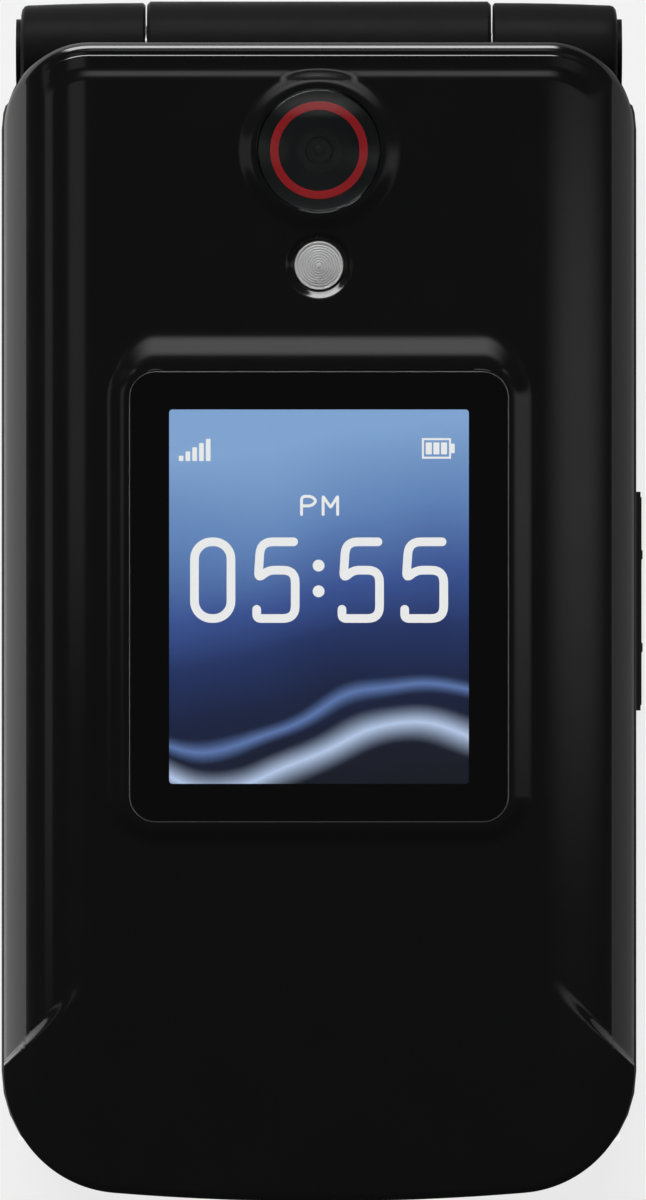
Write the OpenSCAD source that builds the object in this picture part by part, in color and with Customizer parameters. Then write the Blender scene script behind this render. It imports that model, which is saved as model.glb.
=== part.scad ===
// Clamshell phone, shut and lying on its back: +Z up, hinge barrel at the +Y end.
// The origin is the middle of the face that it lies on. Millimetres.

/* [Body] */
// Width of the lid
body_w = 57.2; // [48:0.1:70]
// Length when shut, over the hinge barrel
body_l = 108; // [90:0.5:130]
// Thickness of the keypad half
base_t = 10.6; // [9.8:0.1:14]
// Thickness of the lid
lid_t = 8.1; // [7.6:0.1:11]
// Gap between the two halves when shut
fold_gap = 0.3; // [0.2:0.05:0.6]
// How far the keypad half lies inside the lid's outline
base_inset = 0.2; // [0:0.05:1]
// Wall of every moulded shell
wall = 1.2; // [0.9:0.05:1.5]

/* [Outline] */
// Corner radius at the hinge end
hinge_corner_r = 7.7; // [6.6:0.1:9]
// Corner radius at the free end
free_corner_r = 10.8; // [9.4:0.1:14]
// Radius of the shallow bow across the free end
free_bow_r = 223; // [150:1:400]
// Slope of the lid's rolled flanks at their rim, in degrees
rim_tilt = 65; // [60:1:75]
// Width of the rolled edge at the lid's free end
free_roll = 0.8; // [0.5:0.1:1.4]
// Width of the rolled edge at the lid's hinge end
hinge_roll = 0.9; // [0.6:0.1:1.4]
// Width of the inner case's rim that shows beside the flanks
lip = 0.25; // [0.1:0.05:0.4]

/* [Hinge] */
// Radius of the hinge barrel
barrel_r = 4.7; // [4.4:0.05:5.4]
// Half the length of the lid's middle barrel
barrel_half = 15.5; // [14:0.1:17]
// How far a knuckle's end lies inside the lid's side
knuckle_inset = 1.75; // [1.4:0.05:3]
// How far the lid reaches past the hinge axis
lid_past_axis = 0.8; // [0.4:0.1:1.2]
// Clearance between a swinging part and what it passes
swing_gap = 0.3; // [0.2:0.05:0.5]
// Gap between the barrel's end and a knuckle
side_gap = 0.15; // [0.1:0.05:0.3]
// Radial clearance of a running fit
run_gap = 0.05; // [0.02:0.01:0.08]
// How much thinner a knuckle is at its outer end
knuckle_taper = 0.22; // [0:0.02:0.4]
// Radius of the end caps
cap_r = 3.1; // [2.8:0.1:4]
// How far an end cap stands out of its knuckle
cap_proud = 0.45; // [0.2:0.05:0.8]

/* [Cover display and camera] */
// Width of the cover display's window
window_w = 34.14; // [30:0.1:38]
// Height of the cover display's window
window_h = 40.54; // [34:0.1:42]
// Middle of the cover display's window along the phone
window_y = 0.3; // [-4:0.1:1]
// Corner radius of that window
window_r = 2.4; // [1.5:0.1:4]
// Width of the picture on the cover display
picture_w = 26.9; // [22:0.1:28]
// Height of the picture on the cover display
picture_h = 33.6; // [28:0.1:34]
// How far the raised surround stands above the lid's face
hump_h = 0.45; // [0.3:0.05:0.6]
// Width of the raised surround's slope
hump_w = 2.1; // [1.5:0.1:3]
// Distance from the hinge axis to the camera
camera_in = 8.94; // [8.9:0.02:9.5]
// Radius of the camera's round window
camera_window_r = 5.45; // [4.9:0.05:5.5]
// Outer radius of the coloured ring
ring_outer_r = 4.33; // [4.1:0.01:4.6]
// Inner radius of the coloured ring
ring_inner_r = 3.59; // [3.4:0.01:3.8]
// Distance from the camera to the flash
flash_in = 10.36; // [9.4:0.02:11.4]
// Radius of the flash lens
flash_r = 2.18; // [1.8:0.02:2.4]

/* [Main display] */
// Width of the window inside the lid
lens_w = 47.2; // [44:0.1:50]
// Height of the window inside the lid
lens_h = 78; // [76:0.5:79]
// Middle of the window inside the lid
lens_y = -8; // [-9:0.1:-7]
// Width of the main picture
main_picture_w = 43.2; // [40:0.1:43.5]
// Height of the main picture
main_picture_h = 57.6; // [54:0.1:60]
// Thickness of both displays' windows
lens_t = 0.8; // [0.6:0.05:0.9]

/* [Keypad] */
// Width of a number key
key_w = 14.6; // [12:0.1:14.8]
// Height of a number key
key_h = 10.6; // [9:0.1:10.8]
// Distance between the columns of keys
pitch_x = 16.2; // [16:0.1:16.5]
// Distance between the rows of keys
pitch_y = 12.2; // [12:0.1:12.4]
// Middle of the lowest row
low_row_y = -40.5; // [-41:0.1:-40]
// Gap round a key in its opening
key_gap = 0.2; // [0.15:0.01:0.3]
// Travel of a key
key_travel = 0.3; // [0.2:0.05:0.35]
// Outer radius of the direction ring
pad_r = 10; // [9:0.1:10.3]
// Radius of the OK key
ok_r = 4.8; // [4:0.1:5]
// Middle of the direction ring
pad_y = 27; // [26.6:0.1:27.4]

/* [Side keys] */
// Length of the volume rocker
rocker_l = 19.8; // [16:0.1:22]
// How far the volume rocker stands out of the side
rocker_proud = 0.9; // [0.6:0.05:1.2]
// Length of the single side key
side_key_l = 8.5; // [7:0.1:12]
// How far the single side key stands out of the side
side_key_proud = 0.3; // [0.3:0.05:0.9]
// Middle of the single side key
side_key_y = -3.9; // [-8:0.1:0]
// Height of both side keys
side_key_h = 2.8; // [2.2:0.1:3]

/* [Inside] */
// Width of the battery
battery_w = 44; // [38:0.5:44]
// Length of the battery
battery_l = 55; // [48:0.5:56]
// Thickness of the battery
battery_t = 4.8; // [4:0.1:4.8]
// Bore of the headset socket
jack_bore_r = 1.8; // [1.78:0.01:1.85]
// Depth of the headset socket
jack_depth = 14; // [13:0.1:15]
// Tilt of the direction ring, in degrees
pad_tilt = 1.5; // [1:0.1:1.5]

/* [Hidden] */
$fn = 48;
slop = 0.01;          // one face run past another in a cut
fit = 0.05;           // between two still pieces
arc_steps = 8;        // flats in a rounded corner of an outline

// heights in the keypad half
cover_t = 1;          // battery cover's floor
cover_top = 1.5;      // battery cover's rim
rear_low = cover_top + fit;
bay_low = rear_low + fit;
bay_high = bay_low + battery_t + fit;
rear_top = base_t - 3.65;
front_low = rear_top + fit;
board_z = rear_top + 0.4;
board_t = 0.8;
dome_z = board_z + board_t;
dome_sheet_t = 0.1;
dome_h = 0.2;
deck_z = base_t - 0.9;        // underside of the deck
recess = 0.3;                 // sunk panel that the keys stand in
key_top = base_t + 0.1;
flange_low = deck_z - 0.5;
flange_high = deck_z - 0.1;
plunger_low = dome_z + dome_h + key_travel + 0.05;

// heights in the lid
lid_z = base_t + fold_gap;
lid_top = lid_z + lid_t;
lid_split = lid_z + 2.1;
shell_low = lid_split + fit;
face_z = lid_top - hump_h;    // the lid's face
cover_wall = wall - 0.1;
face_in = face_z - cover_wall;
crown_r = (face_z - shell_low - 0.2) / (1 - cos(rim_tilt));  // radius of the rolled flanks
crown_steps = 9;              // flats in a flank's section
edge_h = 0.9;                 // height of the rolled edge at both ends
plate_t = 1.6;                // the inner case's plate
lens_low = lid_z + 0.1;
lens_high = lens_low + lens_t;
ledge_z = lens_high + fit;
display_low = lid_z + plate_t + fit;
display_t = 2.15;
lid_board_low = display_low + display_t + 0.2;
lid_board_t = 0.6;
cover_display_low = lid_board_low + lid_board_t + 0.15;
window_top = lid_top - 0.1;
window_low = window_top - 1;
cover_display_high = window_low - fit;
camera_low = lid_top - 1;     // floor of the camera's pocket
ring_t = 0.1;
ring_high = camera_low + ring_t;

// plan
axis_y = body_l / 2 - barrel_r;
axis_z = base_t + fold_gap / 2;
lid_half = body_w / 2;
base_half = lid_half - base_inset;
free_y = -body_l / 2;
lid_end = axis_y + lid_past_axis;
swing_r = barrel_r + swing_gap;
trough_r = swing_r + 0.8;     // outside of the wall that follows the barrel
knuckle_in = barrel_half + side_gap;
knuckle_end = lid_half - knuckle_inset;
camera_y = axis_y - camera_in;
flash_y = camera_y - flash_in;
cover_y = axis_y - 13.3;      // hinge-side edge of the battery cover
socket_y = cover_y - 7.6;     // free-end edge of the card socket
contacts_l = 3.6;
battery_y = socket_y - 0.3 - contacts_l - battery_l / 2;
foot_y = battery_y - battery_l / 2;
bay_gap = 0.3;
bay_wall = 0.8;
socket_gap = 0.1;             // round a connector in its opening

// hinge parts, along the axis
can_r = 3.05;
can_wall = 0.5;
can_low = 1.2;
spring_r = 1.9;
spring_wire_r = 0.25;
spring_turns = 7;
turn_steps = 12;
cam_x = 11.6;
spring_from = can_low + 0.6 + fit + spring_wire_r;
spring_step = (cam_x - 2.1 - fit - spring_wire_r - spring_from) / spring_turns / turn_steps;
shaft_r = 0.8;
head_r = 2.1;                 // corners of the shaft's hexagonal head
head_end = 20;
bush_r = 2.5;
bush_bore_r = 1.75;
lead_out = knuckle_end - 1.6; // outer edge of the display lead
bush_end = lead_out - 1.25;
coil_r = 3;                  // the display lead rolled up in the barrel
coil_low = -8;
coil_high = -2;
lead_t = 0.15;
lead_z = dome_z + 0.6;        // height of the lead in the keypad half
lead_plug_y = [pad_y + pad_r + 0.3, pad_y + pad_r + 1.7];

// fasteners
screw_r = 0.75;
screw_head_r = 1.3;
screw_head_h = 0.7;
boss_r = 2.1;
base_screws_at = [
    for (side = [-1, 1]) each [
        [side * (base_half - 2.9), low_row_y + pitch_y / 2], [side * (base_half - 2.9), 14],
        [side * (base_half - 6.9), axis_y - 7.8]
    ]
];
lid_screws_at = [
    for (side = [-1, 1]) each [
        [side * (lid_half - 14.6), free_y + 3.8], [side * (lid_half - 6.6), axis_y - 9.3]
    ]
];
base_screw_head_z = rear_low + 1.9;
base_screw_tip = base_screw_head_z + 4.6;
bumper_r = 1.6;
bumper_low = base_t + fit;
bumper_high = lid_z + 0.35;
lid_screw_head_z = bumper_high + fit;
lid_screw_tip = lid_screw_head_z + 4.4;

// keys
PAD_NAMES = [
    "key_1", "key_2", "key_3", "key_4", "key_5", "key_6",
    "key_7", "key_8", "key_9", "key_star", "key_0", "key_hash"
];
CALL_NAMES = ["send_key", "clear_key", "end_key"];
SOFT_NAMES = ["left_soft_key", "right_soft_key"];
key_corner_r = 1.6;
call_h = 6.4;
call_y = low_row_y + 3 * pitch_y + key_h / 2 + 1.6 + call_h / 2;
soft_w = 9.6;
soft_h = 15.6;
soft_x = pitch_x + key_w / 2 - soft_w / 2;
flange_w = 0.35;
pad_top = base_t - 0.25;
pad_gap = 0.35;
pad_flange_r = pad_r + pad_gap + 0.15;
ok_gap = 0.3;         // round the middle key, which the ring tilts beside
ok_flange_r = ok_r + ok_gap + 0.3;
ok_flange_top = plunger_low + 0.25;
hub_in_r = ok_flange_r + 0.35;
hub_out_r = hub_in_r + 1.15;
hub_low = dome_z + dome_sheet_t + 0.25;
hub_high = hub_low + 0.25;
rock_gap = hub_out_r * sin(pad_tilt) + 0.12;  // room for the ring to rock over its hub
pad_low = hub_high + rock_gap;
side_key_z = rear_top - 0.8 - side_key_h / 2;
side_slot_gap = 0.2;
side_flange = 0.9;
rocker_y = -0.1;

// parts inside the keypad half
jack_y = axis_y - 18.3;
jack_z = rear_low + 2.8;
jack_snout_r = jack_bore_r + 0.4;
jack_w = 6;
jack_h = 4.5;
port_w = 9;
port_h = 3.2;
port_l = 7.4;
port_z = rear_low + 3.1;
speaker_w = 17;
speaker_l = 8.6;
speaker_t = 3.2;
speaker_y = cover_y + 1 + 0.3 + speaker_l / 2;
motor_r = 2;
motor_l = 7.6;
motor_x = 19;
motor_y = cover_y - 9;
motor_z = board_z - 2.3;
motor_shaft_r = 0.4;
weight_l = 3;
weight_gap = 0.35;
socket_low = board_z - 1.55;

// ---- outlines ----

function arc(cx, cy, r, from, to, steps) =
    [for (i = [0:steps]) let (a = from + (to - from) * i / steps) [cx + r * cos(a), cy + r * sin(a)]];

// Rounded plan: square-ish corners at the hinge end, larger ones at the free end, which is bowed.
function outline(half, hinge, free, hinge_r, free_r) =
    let (
        reach = free_bow_r - free_r,
        corner_y = free + free_bow_r - sqrt(reach * reach - pow(half - free_r, 2)),
        meet = atan2(corner_y - free - free_bow_r, half - free_r),
        bow = arc(0, free + free_bow_r, free_bow_r, -180 - meet, meet, arc_steps)
    )
    concat(
        arc(half - free_r, corner_y, free_r, meet, 0, arc_steps),
        arc(half - hinge_r, hinge - hinge_r, hinge_r, 0, 90, arc_steps),
        arc(hinge_r - half, hinge - hinge_r, hinge_r, 90, 180, arc_steps),
        arc(free_r - half, corner_y, free_r, 180, 180 - meet, arc_steps),
        [for (i = [1:arc_steps - 1]) bow[i]]
    );

function base_outline(inset) = outline(
    base_half - inset, axis_y - inset, free_y + base_inset + inset,
    hinge_corner_r - inset, free_corner_r - base_inset - inset);

// The lid's outline, drawn in by different amounts at its flanks, hinge end and free end.
function lid_outline(flank, hinge, free) = outline(
    lid_half - flank, lid_end - hinge, free_y + free,
    hinge_corner_r - hinge, free_corner_r - free);

// Half of a turned part's section, each point [radius, distance along the axis].
function knuckle_section() = concat(
    [[0, knuckle_in], [barrel_r - 0.35, knuckle_in], [barrel_r - 0.13, knuckle_in + 0.2]],
    [for (i = [1:4]) let (t = i / 4)
        [barrel_r - 0.13 - knuckle_taper * t * t, knuckle_in + 0.2 + (knuckle_end - 0.8 - knuckle_in) * t]],
    [for (a = [60, 30, 0])
        [barrel_r - 0.95 - knuckle_taper + 0.82 * sin(a), knuckle_end - 0.6 + 0.6 * cos(a)]],
    [[0, knuckle_end]]
);

function barrel_section() = [
    [0, -barrel_half], [barrel_r - 0.3, -barrel_half], [barrel_r, -barrel_half + 0.3],
    [barrel_r, barrel_half - 0.3], [barrel_r - 0.3, barrel_half], [0, barrel_half]
];

function rounded(w, h, r) = concat(
    arc(w / 2 - r, h / 2 - r, r, 0, 90, 6), arc(r - w / 2, h / 2 - r, r, 90, 180, 6),
    arc(r - w / 2, r - h / 2, r, 180, 270, 6), arc(w / 2 - r, r - h / 2, r, 270, 360, 6));

// ---- building blocks ----

// Skin over rings of equal count, each [height, points], lowest first.
module loft(rings) {
    n = len(rings[0][1]);
    last = len(rings) - 1;
    polyhedron(
        points = [for (ring = rings) for (p = ring[1]) [p.x, p.y, ring[0]]],
        faces = concat(
            [[for (i = [0:n - 1]) i]],
            [[for (i = [n - 1:-1:0]) last * n + i]],
            [for (k = [0:last - 1]) for (i = [0:n - 1])
                let (j = (i + 1) % n, a = k * n, b = a + n)
                each [[a + i, b + i, b + j], [a + i, b + j, a + j]]]
        )
    );
}

module slab(points, low, high) {
    translate([0, 0, low]) linear_extrude(high - low) polygon(points);
}

module block(x, y, low, high) {
    translate([x[0], y[0], low]) cube([x[1] - x[0], y[1] - y[0], high - low]);
}

module plate(w, h, r, low, high, at = [0, 0]) {
    translate([at.x, at.y, 0]) slab(rounded(w, h, r), low, high);
}

module pillar(at, r, low, high) {
    translate([at.x, at.y, low]) cylinder(r = r, h = high - low);
}

// Cylinder on the hinge axis.
module on_axis(from, to, r) {
    translate([from, axis_y, axis_z]) rotate([0, 90, 0]) cylinder(r = r, h = to - from);
}

// Turned part on the hinge axis.
module turned(section) {
    translate([0, axis_y, axis_z]) rotate([0, 90, 0]) rotate_extrude() polygon(section);
}

module both_sides() {
    children();
    mirror([1, 0, 0]) children();
}

// ---- keypad half: shells ----

module base_form() {
    loft([
        [0, base_outline(2.6)], [0.35, base_outline(1.5)], [1, base_outline(0.6)],
        [2.1, base_outline(0)], [base_t - 0.5, base_outline(0)], [base_t, base_outline(0.5)]
    ]);
}

module under_cover() {
    block([-body_w, body_w], [free_y - 1, cover_y], -1, rear_low);
}

module battery_bay(grow, low, high) {
    w = battery_w / 2 + bay_gap + grow;
    l = battery_l / 2 + bay_gap + grow;
    block([-w, w], [battery_y - l, battery_y + l], low, high);
}

module key_opening(w, h, r, at) {
    plate(w + 2 * key_gap, h + 2 * key_gap, r + key_gap, deck_z - slop, base_t + 1, at);
}

module deck_openings() {
    for (i = [0:11]) key_opening(key_w, key_h, key_corner_r, pad_at(i));
    for (i = [0:2]) key_opening(key_w, call_h, key_corner_r, call_at(i));
    for (i = [0:1]) key_opening(soft_w, soft_h, key_corner_r, soft_at(i));
    pillar([0, pad_y], pad_r + pad_gap, deck_z - slop, base_t + 1);
}

module keypad_recess() {
    low = low_row_y - key_h / 2 - 1.6;
    high = pad_y + pad_r + 1.4;
    w = 2 * (pitch_x + key_w / 2) + 2.6;
    plate(w, high - low, 4, base_t - recess, base_t + 1, [0, (low + high) / 2]);
}

module knuckle() {
    turned(knuckle_section());
    block([knuckle_in, knuckle_end - 0.6], [axis_y - barrel_r - 0.9, axis_y], front_low, base_t);
}

// Room inside a shell, less the wall that follows the barrel.
module hollow() {
    difference() {
        children();
        on_axis(-body_w, body_w, trough_r);
    }
}

module base_front_case() color([0.06, 0.06, 0.06]) difference() {
    union() {
        difference() {
            intersection() {
                base_form();
                block([-body_w, body_w], [-body_l, body_l], front_low, base_t + 1);
            }
            hollow() slab(base_outline(wall), front_low - 1, deck_z);
        }
        for (at = base_screws_at) pillar(at, boss_r, front_low, deck_z + slop);
        both_sides() knuckle();
    }
    keypad_recess();
    deck_openings();
    on_axis(-knuckle_in, knuckle_in, swing_r);
    for (at = base_screws_at) pillar(at, screw_r + fit, front_low - 1, base_screw_tip + 0.2);
    knuckle_bores();
    pillar([11, free_y + 6], 0.5, deck_z - 1, base_t + 1);
}

module knuckle_bores() {
    on_axis(-knuckle_end - 1, -knuckle_in + 1, bush_r + run_gap);
    both_sides() on_axis(knuckle_end - 1.6, knuckle_end + 1, 2 + run_gap);
    translate([knuckle_in - 1, axis_y, axis_z]) rotate([0, 90, 0])
        cylinder(r = head_r + fit, h = head_end - knuckle_in + 1.1, $fn = 6);
    block([-lead_out - fit, -bush_end + fit], [axis_y - 8, axis_y - 1.2],
        lead_z - 0.25, lead_z + lead_t + 0.25);
}

module rear_cavity() hollow() {
    intersection() {
        slab(base_outline(wall), rear_low + wall, rear_top + 1);
        block([-body_w, body_w], [free_y, cover_y + 1], 0, base_t);
    }
    intersection() {
        slab(base_outline(wall), wall, rear_top + 1);
        block([-body_w, body_w], [cover_y + 1, axis_y], 0, base_t);
    }
}

module speaker_slots() {
    for (i = [-3:3])
        plate(0.9, 4.6, 0.4, -1, wall + 1, [i * 2, speaker_y]);
}

module base_rear_case() color([0.05, 0.05, 0.05]) difference() {
    union() {
        difference() {
            intersection() {
                base_form();
                block([-body_w, body_w], [-body_l, body_l], -1, rear_top);
            }
            under_cover();
            rear_cavity();
        }
        battery_bay(bay_wall, rear_low, rear_top);
        for (at = base_screws_at)
            pillar(at, boss_r + 0.1, at.y > cover_y ? wall - slop : rear_low, rear_top);
    }
    battery_bay(0, rear_low - 1, bay_high);
    on_axis(-knuckle_in, knuckle_in, swing_r);
    both_sides() on_axis(knuckle_in - slop, knuckle_end + side_gap, barrel_r + fit);
    both_sides() on_axis(knuckle_end, body_w, cap_r + side_gap);
    for (at = base_screws_at) {
        pillar(at, screw_r + fit, rear_low - 2, rear_top + 1);
        pillar(at, screw_head_r + 0.1, -1, base_screw_head_z + screw_head_h + fit);
    }
    speaker_slots();
    side_slots();
    translate([-base_half - 1, jack_y, jack_z]) rotate([0, 90, 0])
        cylinder(r = jack_snout_r + fit, h = wall + 2);
    block([-base_half + wall, -base_half + jack_depth + 1.3],
        [jack_y - jack_w / 2 - fit, jack_y + jack_w / 2 + fit], jack_z - jack_h / 2 - fit, rear_top + 1);
    port_opening();
    contact_opening();
}

module side_slots() {
    h = side_key_h + 2 * side_slot_gap;
    block([base_half - wall - 1, base_half + 1],
        [rocker_y - rocker_l / 2 - side_slot_gap, rocker_y + rocker_l / 2 + side_slot_gap],
        side_key_z - h / 2, side_key_z + h / 2);
    block([-base_half - 1, -base_half + wall + 1],
        [side_key_y - side_key_l / 2 - side_slot_gap, side_key_y + side_key_l / 2 + side_slot_gap],
        side_key_z - h / 2, side_key_z + h / 2);
}

module port_opening() {
    translate([0, free_y + base_inset + wall + 1, port_z]) rotate([90, 0, 0])
        plate(port_w + 2 * socket_gap, port_h + 2 * socket_gap, 1.5, 0, wall + 2);
}

module contact_opening() {
    block([-6.3, 6.3], [battery_y + battery_l / 2, battery_y + battery_l / 2 + 2],
        rear_low + wall - 0.15, bay_high - 0.6);
}

module battery_cover() color([0.05, 0.05, 0.05]) difference() {
    intersection() {
        base_form();
        block([-body_w, body_w], [free_y - 1, cover_y - 0.1], -1, cover_top);
    }
    intersection() {
        slab(base_outline(3.2), cover_t, cover_top + 1);
        block([-body_w, body_w], [-body_l, cover_y - 1.2], 0, base_t);
    }
    plate(12, 1.6, 0.7, -1, 0.4, [0, free_y + 5]);
}

// ---- keypad half: inside ----

module battery() color([0.16, 0.17, 0.19]) difference() {
    translate([0, battery_y, 0]) block([-battery_w / 2, battery_w / 2],
        [-battery_l / 2, battery_l / 2], bay_low, bay_low + battery_t);
    for (i = [-1:1]) block([i * 3.6 - 1, i * 3.6 + 1],
        [battery_y + battery_l / 2 - 0.4, battery_y + battery_l / 2 + 1], 2.9, 5);
}

module battery_contacts() color([0.12, 0.12, 0.12]) {
    edge = battery_y + battery_l / 2;
    block([-6.2, 6.2], [edge + bay_gap + bay_wall + fit, edge + contacts_l],
        rear_low + wall + fit, board_z);
    for (i = [-1:1]) block([i * 3.6 - 0.6, i * 3.6 + 0.6],
        [edge + 0.02, edge + bay_gap + bay_wall + 0.1], 3.4, 4.6);
}

module main_board() color([0.05, 0.25, 0.12]) {
    difference() {
        intersection() {
            slab(base_outline(wall + 0.7), board_z, board_z + board_t);
            block([-body_w, body_w], [free_y, axis_y - swing_r - 0.6], 0, base_t);
        }
        for (at = base_screws_at) pillar(at, boss_r + 0.2, board_z - 1, board_z + 2);
    }
    for (x = [-14, 0, 14]) block([x - 4, x + 4], [foot_y - 13, foot_y - 6],
        board_z - 0.9, board_z);
    block([9, 12.8], [free_y + 5, free_y + 8], board_z - 1, board_z);
    block([10, 15.6], [cover_y - 8, cover_y - 2.5], board_z - 0.9, board_z);
    block([-lead_out + 0.5, -lead_out + 6.7], lead_plug_y, dome_z, dome_z + 0.5);
}

module dome_sheet() color([0.85, 0.85, 0.82]) {
    low = low_row_y - key_h / 2;
    high = pad_y + pad_r;
    difference() {
        plate(2 * pitch_x + key_w, high - low, 2, dome_z, dome_z + dome_sheet_t,
            [0, (low + high) / 2]);
        for (at = base_screws_at) pillar(at, boss_r + 0.2, dome_z - 1, dome_z + 2);
    }
    for (i = [0:11]) dome(pad_at(i));
    for (i = [0:2]) dome(call_at(i));
    for (i = [0:1]) dome(soft_at(i));
    dome([0, pad_y]);
}

module dome(at) {
    translate([at.x, at.y, dome_z]) cylinder(r1 = 2.2, r2 = 1.3, h = dome_h);
}

module card_socket() color([0.75, 0.75, 0.77]) difference() {
    block([-9, 8], [socket_y, cover_y + 1], socket_low, board_z);
    block([-8.3, 7.3], [socket_y - 0.1, cover_y + 0.4], socket_low + 0.3, board_z - 0.35);
}

module headset_jack() color([0.1, 0.1, 0.1]) difference() {
    union() {
        block([-base_half + wall + fit, -base_half + jack_depth + 1.2],
            [jack_y - jack_w / 2, jack_y + jack_w / 2], jack_z - jack_h / 2, jack_z + jack_h / 2);
        translate([-base_half, jack_y, jack_z]) rotate([0, 90, 0])
            cylinder(r = jack_snout_r, h = wall + 2 * fit);
    }
    translate([-base_half - 1, jack_y, jack_z]) rotate([0, 90, 0])
        cylinder(r = jack_bore_r, h = jack_depth + 1);
}

module charging_port() color([0.7, 0.7, 0.72]) {
    mouth = free_y + base_inset + 0.15;
    difference() {
        translate([0, mouth + port_l, port_z]) rotate([90, 0, 0]) plate(port_w, port_h, 1.4, 0, port_l);
        translate([0, mouth + port_l - 0.6, port_z]) rotate([90, 0, 0])
            plate(port_w - 0.7, port_h - 0.7, 1.1, 0, port_l);
    }
    block([-3, 3], [mouth + 0.9, mouth + port_l - 0.5], port_z - 0.35, port_z + 0.35);
    for (x = [-3.4, 3.4]) block([x - 0.5, x + 0.5], [mouth + 3, mouth + 5],
        port_z + port_h / 2 - 0.05, board_z);
}

module loudspeaker() color([0.12, 0.12, 0.13]) difference() {
    plate(speaker_w, speaker_l, 1.5, wall + fit, wall + fit + speaker_t, [0, speaker_y]);
    plate(speaker_w - 3, speaker_l - 3, 1, wall - 1, wall + fit + 0.6, [0, speaker_y]);
}

module vibration_motor() color([0.75, 0.75, 0.76]) {
    translate([motor_x, motor_y, motor_z]) rotate([-90, 0, 0]) cylinder(r = motor_r, h = motor_l);
    block([motor_x - 1.4, motor_x + 1.4], [motor_y + 1, motor_y + motor_l - 1], motor_z, board_z - fit);
    translate([motor_x, motor_y, motor_z]) rotate([-90, 0, 0])
        cylinder(r = motor_shaft_r, h = motor_l + weight_gap + weight_l);
}

module vibrator_weight() color([0.55, 0.55, 0.56]) difference() {
    translate([motor_x, motor_y + motor_l + weight_gap, motor_z]) rotate([-90, 0, 0])
        difference() {
            cylinder(r = motor_r - 0.1, h = weight_l);
            translate([-motor_r, -motor_r - 0.9, -1]) cube([2 * motor_r, motor_r, weight_l + 2]);
            translate([0, 0, -1]) cylinder(r = motor_shaft_r + run_gap, h = weight_l + 2);
        }
}

module main_antenna() color([0.2, 0.14, 0.08]) {
    intersection() {
        slab(base_outline(wall + 0.2), rear_low + wall + fit, board_z - fit);
        block([-21, -6.2], [free_y, free_y + 7.6], 0, base_t);
    }
}

module shield_can() color([0.75, 0.76, 0.77]) difference() {
    block([-19.5, 19.5], [foot_y - 14.5, foot_y - 4.7], board_z - 1.6, board_z);
    block([-19.3, 19.3], [foot_y - 14.3, foot_y - 4.9], board_z - 1.4, board_z + 1);
}

module screw(at, head_z, tip) {
    difference() {
        union() {
            pillar(at, screw_head_r, head_z, head_z + screw_head_h);
            pillar(at, screw_r, head_z + screw_head_h - slop, tip);
        }
        block([at.x - 0.8, at.x + 0.8], [at.y - 0.18, at.y + 0.18], head_z - 1, head_z + 0.45);
        block([at.x - 0.18, at.x + 0.18], [at.y - 0.8, at.y + 0.8], head_z - 1, head_z + 0.45);
    }
}

module base_screws() color([0.7, 0.7, 0.72])
    for (at = base_screws_at) screw(at, base_screw_head_z, base_screw_tip);

// ---- hinge ----

module hinge_caps() color([0.08, 0.08, 0.08]) both_sides() {
    on_axis(knuckle_end + slop, knuckle_end + cap_proud, cap_r);
    on_axis(knuckle_end - 1.4, knuckle_end + 0.1, 2);
}

module hinge_cam_shaft() color([0.6, 0.6, 0.62]) {
    on_axis(can_low + 0.8, cam_x + 0.1, shaft_r);
    on_axis(cam_x, cam_x + 2.4, can_r - can_wall - run_gap);
    translate([cam_x + 2.3, axis_y, axis_z]) rotate([0, 90, 0])
        cylinder(r = head_r, h = head_end - cam_x - 2.3, $fn = 6);
}

module hinge_cartridge() color([0.5, 0.5, 0.52]) {
    difference() {
        on_axis(can_low, barrel_half - 0.2, can_r);
        on_axis(can_low + 0.6, barrel_half + 1, can_r - can_wall);
    }
    difference() {
        on_axis(cam_x - 2.1, cam_x - fit, can_r - can_wall - run_gap);
        on_axis(cam_x - 3, cam_x + 1, shaft_r + run_gap);
    }
}

// Point near the spring's wire: k steps along, r from the axis and a little further along.
function spring_point(k, r, along) = [
    spring_from + spring_step * k + along,
    axis_y + r * cos(360 * k / turn_steps),
    axis_z + r * sin(360 * k / turn_steps)
];

// Coil spring: one unbroken tube wound on the axis.
module hinge_spring() color([0.75, 0.75, 0.77]) {
    sides = 6;
    last = spring_turns * turn_steps;
    turn_gap = min([for (k = [0:last - turn_steps])
        norm(spring_point(k + turn_steps, spring_r, 0) - spring_point(k, spring_r, 0))]);
    echo(spring_turn_gap = turn_gap - 2 * spring_wire_r);
    polyhedron(
        points = [for (k = [0:last]) for (i = [0:sides - 1]) let (b = 360 * i / sides)
            spring_point(k, spring_r + spring_wire_r * cos(b), spring_wire_r * sin(b))],
        faces = concat(
            [[for (i = [0:sides - 1]) i]],
            [[for (i = [sides - 1:-1:0]) last * sides + i]],
            [for (k = [0:last - 1]) for (i = [0:sides - 1])
                let (j = (i + 1) % sides, a = k * sides, b = a + sides)
                each [[a + i, b + i, b + j], [a + i, b + j, a + j]]]
        )
    );
}

module hinge_bush() color([0.55, 0.55, 0.57]) difference() {
    on_axis(-bush_end, coil_low - 1, bush_r);
    on_axis(-bush_end - 1, 0, bush_bore_r);
}

module base_flex() color([0.75, 0.45, 0.12]) {
    r = bush_bore_r - 0.3;
    x = [-lead_out, -bush_end - 0.1];
    difference() {
        on_axis(-lead_out, coil_low - 0.6, r);
        on_axis(-lead_out - 1, 0, r - lead_t);
    }
    block(x, [axis_y - r + 0.02, axis_y - r + 0.02 + lead_t], lead_z, axis_z);
    block(x, [lead_plug_y[0], axis_y - r + 0.1], lead_z, lead_z + lead_t);
    block([-lead_out, -lead_out + 6.2], lead_plug_y, dome_z + 0.5, lead_z + lead_t);
}

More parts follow.
